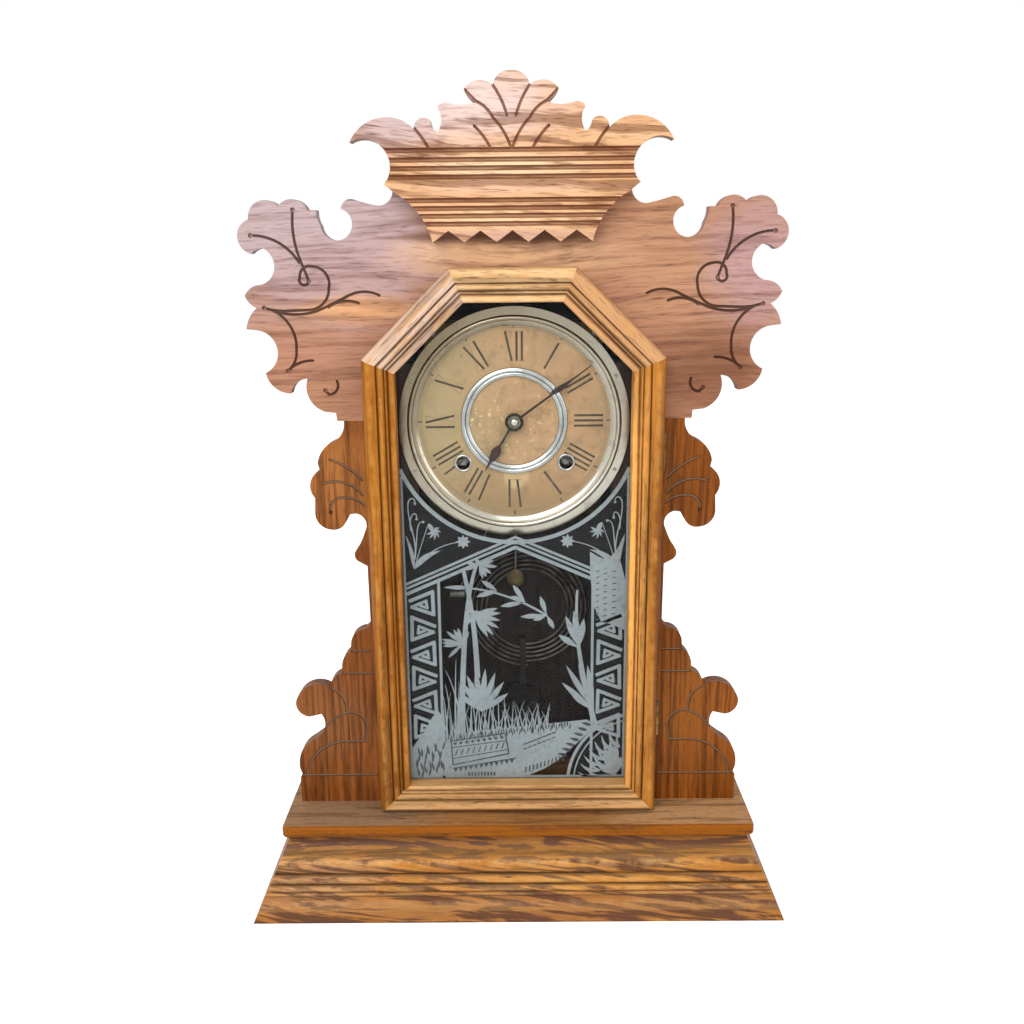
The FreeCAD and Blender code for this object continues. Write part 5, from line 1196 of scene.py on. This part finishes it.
TICKS = (
    ("line", ((-46.4, 91.6), (-1.0, 99.4)), 0.35),
    ("row", 9, (-35.0, 85.6), (2.3, 0.0), (0, 0, 0, 3.0, 0.55)),
    ("row", 11, (6.0, 88.0), (2.7, 0.918), (0, 0, 0.5, 4.4, 0.5)),
    ("row", 7, (6.0, 108.02), (3.4, 1.428), (-1.6, 2.2, 1.6, 3.2, 0.5),
     (-1.6, -1.6, 1.2, -0.8, 0.45)))

SEED_HEAD = (
    ("row", 9, (0.0, 240.0), (0.0, -4.4), (55.4, 0, 57.4, 0.8, 0.35),
     (60.6, -1.6, 63.0, -0.8, 0.35), (66.4, 0, 69.2, 0.6, 0.35)),)

SPANDREL_LEAVES = (((-74.6, 267), 1.3, 0.04), ((-51, 256), 2.0, -0.10),
                   ((-60, 251), 1.0, -0.05))
SPANDREL_BUDS = ((-67.6, 289.3), (-66.8, 278.5), (-62.4, 276.4))
SPANDREL_PETALS = ((205, 5.4), (240, 6.0), (272, 6.6), (305, 6.2), (345, 5.2), (25, 4.6))

# Foot, lean and height of the tallest blades; drop and half width of the gable's lines
TALL_BLADES = ((-44.0, 1.5, 64.0), (-39.0, -11.0, 56.0), (-46.5, -4.0, 45.0),
               (-42.5, 4.0, 48.0), (-50.0, -2.0, 36.0))
GABLE_RULES = ((2.0, 0.9), (5.2, 0.8), (9.2, 1.2))

# Across and down in shares of one key, from its outer corner inward
KEY_TURNS = ((0.02, 0.40), (0.93, 0.05), (0.95, 0.94), (0.08, 0.64), (0.66, 0.41),
             (0.70, 0.68), (0.44, 0.59))


@dataclass
class Tablet:
    """Silver and black print on the back of the door's glass."""

    ink: float = 0.03
    gap: float = 0.02
    half: float = 77.0
    low: float = 84.1
    foot_half: float = 0.8
    edge: float = 1.5
    circle: float = 84.6
    circle_z: float = 344.8
    band: float = 2.8
    apex: float = 267.2
    slope: float = 0.44
    black_rules: tuple[Point, Point] = ((3.7, 0.7), (7.0, 0.9))
    over_rules: float = 0.6
    under_rules: float = 10.6
    column_line: float = 53.2
    column_half: float = 0.95
    column_drop: float = 9.5
    key_out: float = 73.6
    key_in: float = 56.4
    key_top: float = 227.4
    key_height: float = 18.7
    key_count: int = 6
    key_halves: Point = (1.25, 1.0)
    key_lap: float = 0.8
    blades: int = 66
    blade_start: float = -52.0
    blade_step: float = 1.15
    blade_lean: float = 6.0
    blade_height: Point = (14.0, 12.0)
    tuft_middle: float = -34.0
    tuft_width: float = 26.0
    tall_foot: float = 112.0
    fan_middle: Point = (92.0, 79.5)
    fan_arcs: tuple[Point, Point] = ((55.6, 1.1), (51.4, 0.5))
    fan_sweep: Point = (107.5, 174.6)
    fan_spokes: int = 7
    fan_first: float = 171.0
    fan_step: float = 8.0
    fan_root: float = 33.0
    fan_ground: float = 54.0
    fan_ground_sweep: Point = (108.0, 174.0)

    def gable(self, drop: float, x: float) -> float:
        """Height of a gable line that runs drop millimetres below the uppermost."""
        return self.apex - drop - self.slope * abs(x)

    def rule(self, sheet: Sheet, side: int, drop: float, half: float) -> None:
        """Draw one half of a gable line, from the middle to the border.

        Args:
            sheet: the print.
            side: minus one on the left and one on the right.
            drop: how far it runs below the uppermost line.
            half: its half width.
        """
        out = self.half - self.edge
        sheet.line(((0.0, self.gable(drop, 0)), (side * out, self.gable(drop, out))), half)

    def circle_height(self, x: float) -> float:
        """Height of the lower part of the dial's circle at a place across."""
        return self.circle_z - math.sqrt(max(self.circle ** 2 - x * x, 0.0))

    def build(self) -> None:
        """Lay fine black lines, the silver shapes, then the black ground behind them."""
        front = GLASS_BACK_Y + self.gap
        layer = self.gap + self.ink * 2
        lines, silver, black = (Sheet(front + layer * index, self.ink) for index in range(3))
        self.border(silver)
        self.spandrel_flowers(silver)
        self.key_columns(silver)
        silver.draw(BAMBOO + RIGHT_STEM)
        self.grasses(silver)
        silver.draw(BANK)
        self.fan(silver)
        self.black_lines(lines)
        self.ground(black)
        silver.piece("tablet_silver_print", "door",
                     InkFinish("silver_leaf_print", rgb(160, 167, 171), rgb(118, 124, 128),
                               0.4, 300.0, 0.5))
        black.piece("tablet_black_ground", "door",
                    InkFinish("black_ground_print", rgb(15, 13, 15), rgb(34, 30, 32), 0.2,
                              90.0))
        lines.piece("tablet_black_lines", "door",
                    InkFinish("black_line_print", rgb(66, 64, 66), rgb(120, 124, 124), 0.45,
                              260.0, 0.5))

    def border(self, sheet: Sheet) -> None:
        """Edge the tablet, open where the dial's circle passes, and rule its gable."""
        x = self.half - self.edge / 2
        for side in (-1, 1):
            sheet.line(((side * x, self.low), (side * x, self.circle_height(x))),
                       self.edge / 2)
        foot = self.low + self.foot_half
        sheet.line(((-self.half, foot), (self.half, foot)), self.foot_half)
        reach = math.degrees(math.acos(self.half / self.circle)) - 2
        sheet.arc((0.0, self.circle_z), self.circle - self.band / 2, 180 + reach, 360 - reach,
                  self.band / 2, 96)
        for drop, half in GABLE_RULES:
            for side in (-1, 1):
                self.rule(sheet, side, drop, half)

    def spandrel_flowers(self, sheet: Sheet) -> None:
        """Draw a spray of stems, curls and small flowers in each lower corner of the circle."""
        flower = (-55.6, 270.2)
        for side in (-1, 1):
            def at(place: Point, side: int = side) -> Point:
                """A place in the left corner, mirrored for the right."""
                return -side * place[0], place[1]

            for points, half in SPANDREL_STEMS:
                sheet.curve([at(point) for point in points], half, 0.6)
            for tip, half, bend in SPANDREL_LEAVES:
                sheet.leaf(at((-69.6, 243)), at(tip), half, bend * side)
            for bud in SPANDREL_BUDS:
                sheet.dot(at(bud), 0.9)
            sheet.blossom(at((-35.6, 262.2)), 4.9, 8)
            sheet.leaf(at((-58.8, 275.3)), at((-54.8, 267.8)), 1.5)
            for angle, reach in SPANDREL_PETALS:
                sheet.leaf(at(flower), at(polar(flower, reach, math.radians(angle))), 0.75,
                           0.12)

    def key_columns(self, sheet: Sheet) -> None:
        """Run a three-cornered key pattern down both sides, and its inner border line."""
        for side in (-1, 1):
            x = side * self.column_line
            sheet.line(((x, self.low), (x, self.gable(self.column_drop, x))),
                       self.column_half)
            for index in range(self.key_count):
                self.key(sheet, side, self.key_top - self.key_height * index, index % 2)

    def key(self, sheet: Sheet, side: int, top: float, turned: int) -> None:
        """One key: a three-cornered band that winds in on itself.

        Args:
            sheet: the print.
            side: minus one on the left and one on the right.
            top: height of its upper corner.
            turned: nought with its upright next to the inner line, one at the outer edge.
        """
        width = self.key_out - self.key_in
        path = [np.array([side * (self.key_in + width * (across if turned else 1.0 - across)),
                          top - self.key_height * down]) for across, down in KEY_TURNS]
        for index, (start, end) in enumerate(zip(path, path[1:])):
            half = self.key_halves[index >= 3]
            reach = (end - start) / np.linalg.norm(end - start) * half * self.key_lap
            sheet.line((start - reach, end + reach), half)

    def grasses(self, sheet: Sheet) -> None:
        """Raise tufts of long curved blades from the bank, leaning both ways.

        Formula: blade k starts at an even step across, leans by the sine of its number, and
        its height falls off as a bell to either side of the tallest tuft.
        """
        least, more = self.blade_height
        for index in range(self.blades):
            x = self.blade_start + self.blade_step * index
            lean = self.blade_lean * math.sin(index * 2.4)
            bell = math.exp(-((x - self.tuft_middle) / self.tuft_width) ** 2)
            height = least + more * (1 + math.sin(index * 1.7)) * (0.35 + bell)
            foot = 113 + 0.1 * (x + 50)
            sheet.curve(((x, foot), (x + lean * 0.2, foot + height * 0.6),
                         (x + lean, foot + height)), 0.62, 0.15, 14)
        for x, lean, height in TALL_BLADES:
            foot = self.tall_foot
            sheet.curve(((x, foot), (x + lean * 0.1, foot + height * 0.6),
                         (x + lean, foot + height)), 0.85, 0.2, 20)

    def fan(self, sheet: Sheet) -> None:
        """Draw the spoked fan in the lower right corner."""
        for radius, half in self.fan_arcs:
            sheet.arc(self.fan_middle, radius, *self.fan_sweep, half, 48)
        for index in range(self.fan_spokes):
            angle = math.radians(self.fan_first - self.fan_step * index)
            root = polar(self.fan_middle, self.fan_root, angle)
            for turn, reach, half in ((-0.02, 49.0, 1.3), (-0.11, 43.0, 0.9)):
                tip = polar(self.fan_middle, reach, angle + turn)
                if tip[0] < self.half - self.edge - 0.5:
                    sheet.leaf(root, tip, half, 0.16)
        sheet.spray((70.5, 85.0), 2.6, ((62.0, 104.0), (66.0, 109.5), (70.8, 112.0),
                                        (74.8, 100.0), (57.6, 95.0)))

    def black_lines(self, sheet: Sheet) -> None:
        """Rule the fine black detail of the bank: a patterned panel, saw teeth and ticks."""
        sheet.draw(PANEL)
        # Lozenges along the panel, each with a slanting tick under it
        for index in range(9):
            x, z = -44.6 + 4.2 * index, 111.236 + 0.588 * index
            sheet.fill(((x - 1.5, z), (x, z - 1.5), (x + 1.5, z), (x, z + 1.5)))
            foot = 101.784 + 0.672 * index
            sheet.line(((x, foot), (x + 1.6, foot + 4.6)), 0.45)
        # Saw teeth under the panel
        for index in range(12):
            x, z = -44.6 + 3.7 * index, 91.438 + 0.629 * index
            sheet.fill(((x - 1.5, z), (x + 1.5, z + 0.3), (x, z - 3.2)))
        sheet.draw(TICKS)
        # Feathers up the bank's right edge, rushes at its left foot, grass along its top
        for index in range(7):
            x, z = 33.5 + 17 * index / 6, 104.0 + 24 * index / 6
            sheet.leaf((x + 2.6, z - 3.0), (x - 4.5, z - 1.0), 1.2)
        for index in range(26):
            x = -72.5 + 0.78 * index
            z = 92.0 + 9.0 * math.sin(index * 2.7) + 0.25 * index
            sheet.leaf((x, z), (x + 2.2 * math.sin(index * 1.9), z + 7.5), 0.7)
        for index in range(60):
            x = -51.0 + 1.5 * index
            z = 116.0 + 0.12 * (x + 50) + 1.4 * math.sin(index * 2.1)
            sheet.leaf((x, z - 3.2), (x + 1.1 * math.sin(index * 1.3), z + 1.6), 0.42)
        sheet.draw(SEED_HEAD)

    def ground(self, sheet: Sheet) -> None:
        """Paint the black ground of the two spandrels, the key columns and the fan."""
        out, inner = self.half - self.edge, self.column_line + 1.0
        for side in (-1, 1):
            upper = [(side * x, self.circle_height(x)) for x in np.linspace(out, 0.0, 60)
                     if self.circle_height(x) > self.gable(0, x)]
            meets = abs(upper[-1][0])
            sheet.fill([*upper, (side * meets, self.gable(self.over_rules, meets)),
                        (side * out, self.gable(self.over_rules, out))])
            sheet.fill([(side * out, self.gable(self.under_rules, out)),
                        (side * inner, self.gable(self.under_rules, inner)),
                        (side * inner, self.low), (side * out, self.low)])
            self.rule(sheet, side, *self.black_rules[0])
        rim = [polar(self.fan_middle, self.fan_ground, angle)
               for angle in np.radians(np.linspace(*self.fan_ground_sweep, 24))]
        sheet.fill([(out - 0.1, self.low), *((min(out - 0.1, x), z) for x, z in rim)])
        for side in (-1, 1):
            self.rule(sheet, side, *self.black_rules[1])


# Dial and works


@dataclass
class Dial:
    """Printed dial: Roman hours, hour ticks and the minute circle."""

    ink: float = 0.03
    inner: float = 40.3
    outer: float = 59.6
    stroke: float = 0.72
    hair: float = 0.16
    spacing: float = 3.5
    wide_letter: float = 2.1
    lean_share: float = 0.30
    serif_share: float = 0.42
    circle: float = 62.2
    circle_gap: float = 1.3
    tick: Point = (61.9, 65.0)
    tick_half: float = 0.42
    minute_half: float = 0.12
    hours: tuple[str, ...] = ("I", "II", "III", "IIII", "V", "VI", "VII", "VIII", "IX", "X",
                              "XI", "XII")

    def build(self) -> None:
        """Print the hours boldly, and the minute circle and the serifs faintly."""
        bold = Sheet(DIAL_FACE_Y - self.ink * 1.6, self.ink)
        faint = Sheet(DIAL_FACE_Y - self.ink / 2, self.ink / 2)
        for index, letters in enumerate(self.hours):
            degrees = (index + 1) * 30.0
            self.numeral(bold, faint, degrees, letters)
            self.radial(bold, degrees, self.tick, (0.0, 0.0), self.tick_half)
        rings = (self.circle, self.circle + self.circle_gap)
        for ring in rings:
            faint.arc((0.0, HUB_Z), ring, 0, 360, self.hair, 180)
        for minute in range(60):
            self.radial(faint, minute * 6.0, rings, (0.0, 0.0), self.minute_half)
        bold.piece("dial_numerals", "case",
                   InkFinish("numeral_ink", rgb(74, 66, 60), rgb(150, 128, 104), 0.32))
        faint.piece("dial_minute_track", "case",
                    InkFinish("worn_hairline_ink", rgb(146, 122, 96), rgb(182, 152, 116), 0.5))

    def radial(self, sheet: Sheet, degrees: float, reach: Point, aside: Point,
               half: float) -> None:
        """Add a stroke between two radii.

        Args:
            sheet: the print.
            degrees: clock angle.
            reach: radius at the stroke's foot and head.
            aside: how far its foot and its head stand to the right.
            half: its half width.
        """
        sine, cosine = math.sin(math.radians(degrees)), math.cos(math.radians(degrees))
        sheet.line([(sine * out + cosine * side, HUB_Z + cosine * out - sine * side)
                    for out, side in zip(reach, aside)], half)

    def numeral(self, bold: Sheet, faint: Sheet, degrees: float, letters: str) -> None:
        """Add one Roman hour, its foot toward the middle.

        Each letter is a thick stroke and perhaps a thin one, whose foot and head stand to
        the right of its middle by a share of its lean, and a serif at both ends.

        Args:
            bold: sheet of the thick strokes.
            faint: sheet of the thin strokes and serifs.
            degrees: the hour's clock angle.
            letters: the hour in Roman letters.
        """
        strokes = {"I": ((0, 0),), "V": ((0, -1), (0, 1)), "X": ((1, -1), (-1, 1))}
        widths = [self.spacing * (1 if letter == "I" else self.wide_letter)
                  for letter in letters]
        x = -sum(widths) / 2
        for letter, width in zip(letters, widths):
            middle, lean, serif = (x + width / 2, width * self.lean_share,
                                   width * self.serif_share)
            for index, (foot, head) in enumerate(strokes[letter]):
                sheet, half = ((bold, self.stroke), (faint, self.hair))[index]
                self.radial(sheet, degrees, (self.inner, self.outer),
                            (middle + lean * foot, middle + lean * head), half)
            for edge in (self.inner, self.outer):
                self.radial(faint, degrees, (edge, edge), (middle - serif, middle + serif),
                            self.hair)
            x += width


def dress_works() -> None:
    """Dress the dial, the hands, the movement, the pendulum, the hammer and the gong."""
    dress(DialPaperFinish(), "dial_paper")
    dress(BezelFinish(), "dial_bezel")
    dress(CentreNutFinish(), "hand_nut")
    for finish, nodes in (
            (MetalFinish("zinc_pan", rgb(138, 136, 130), rgb(96, 92, 84), 0.5, 0.5),
             ("dial_pan",)),
            (MetalFinish("nickel_ring", rgb(208, 210, 208), rgb(150, 148, 140), 0.2, 0.18,
                         cell=50.0, line=(60.0, 60.0, 60.0)),
             ("dial_inner_ring", "winding_grommets")),
            (MetalFinish("tack_steel", rgb(168, 162, 146), rgb(120, 110, 92)),
             ("dial_tacks",)),
            (MetalFinish("blued_steel", rgb(70, 62, 66), rgb(92, 66, 48), 0.4, 0.36,
                         cell=160.0), ("hour_hand", "minute_hand")),
            # The plates' brass is darkened as painted shade of the closed case
            (MetalFinish("plate_brass_in_painted_shade", rgb(112, 90, 50), rgb(70, 54, 30), 0.45, 0.34,
                         line=(900.0, 30.0, 20.0)), ("front_plate", "back_plate")),
            (MetalFinish("wheel_brass", rgb(206, 172, 98), rgb(140, 110, 58), 0.35, 0.28,
                         line=(60.0, 30.0, 60.0)),
             ("centre_arbor", "minute_wheel", "hour_wheel", "time_great_wheel",
              "strike_great_wheel", "second_wheel", "third_wheel", "escape_wheel",
              "strike_second_wheel", "strike_third_wheel", "warning_wheel", "fly")),
            (MetalFinish("bright_steel", rgb(150, 150, 150), rgb(92, 84, 76), 0.35, 0.30),
             ("plate_pillars", "time_winding_arbor", "strike_winding_arbor", "verge",
              "hammer", "wood_screws", "pendulum_rod")),
            (MetalFinish("spring_steel", rgb(112, 114, 120), rgb(70, 62, 58), 0.4, 0.28),
             ("mainsprings",)),
            (MetalFinish("gong_wire", rgb(126, 118, 112), rgb(72, 60, 52), 0.5, 0.42,
                         cell=90.0), ("gong_coil",)),
            (MetalFinish("black_iron", rgb(44, 42, 42), rgb(66, 52, 44), 0.35, 0.5,
                         metallic=0.5, cell=110.0, bump=0.3, pits=1.0), ("gong_stand",)),
            (MetalFinish("bob_brass", rgb(122, 106, 72), rgb(80, 66, 46), 0.5, 0.34),
             ("pendulum_bob",))):
        dress(finish, *nodes)


def main() -> None:
    """Build every part of the scene."""
    logging.basicConfig(level=logging.INFO, format="%(name)s: %(message)s")
    Studio().build()
    dress_case()
    Door().dress()
    Tablet().build()
    Dial().build()
    dress_works()
    LOG.info("boxes written")


if __name__ == "__main__":
    main()
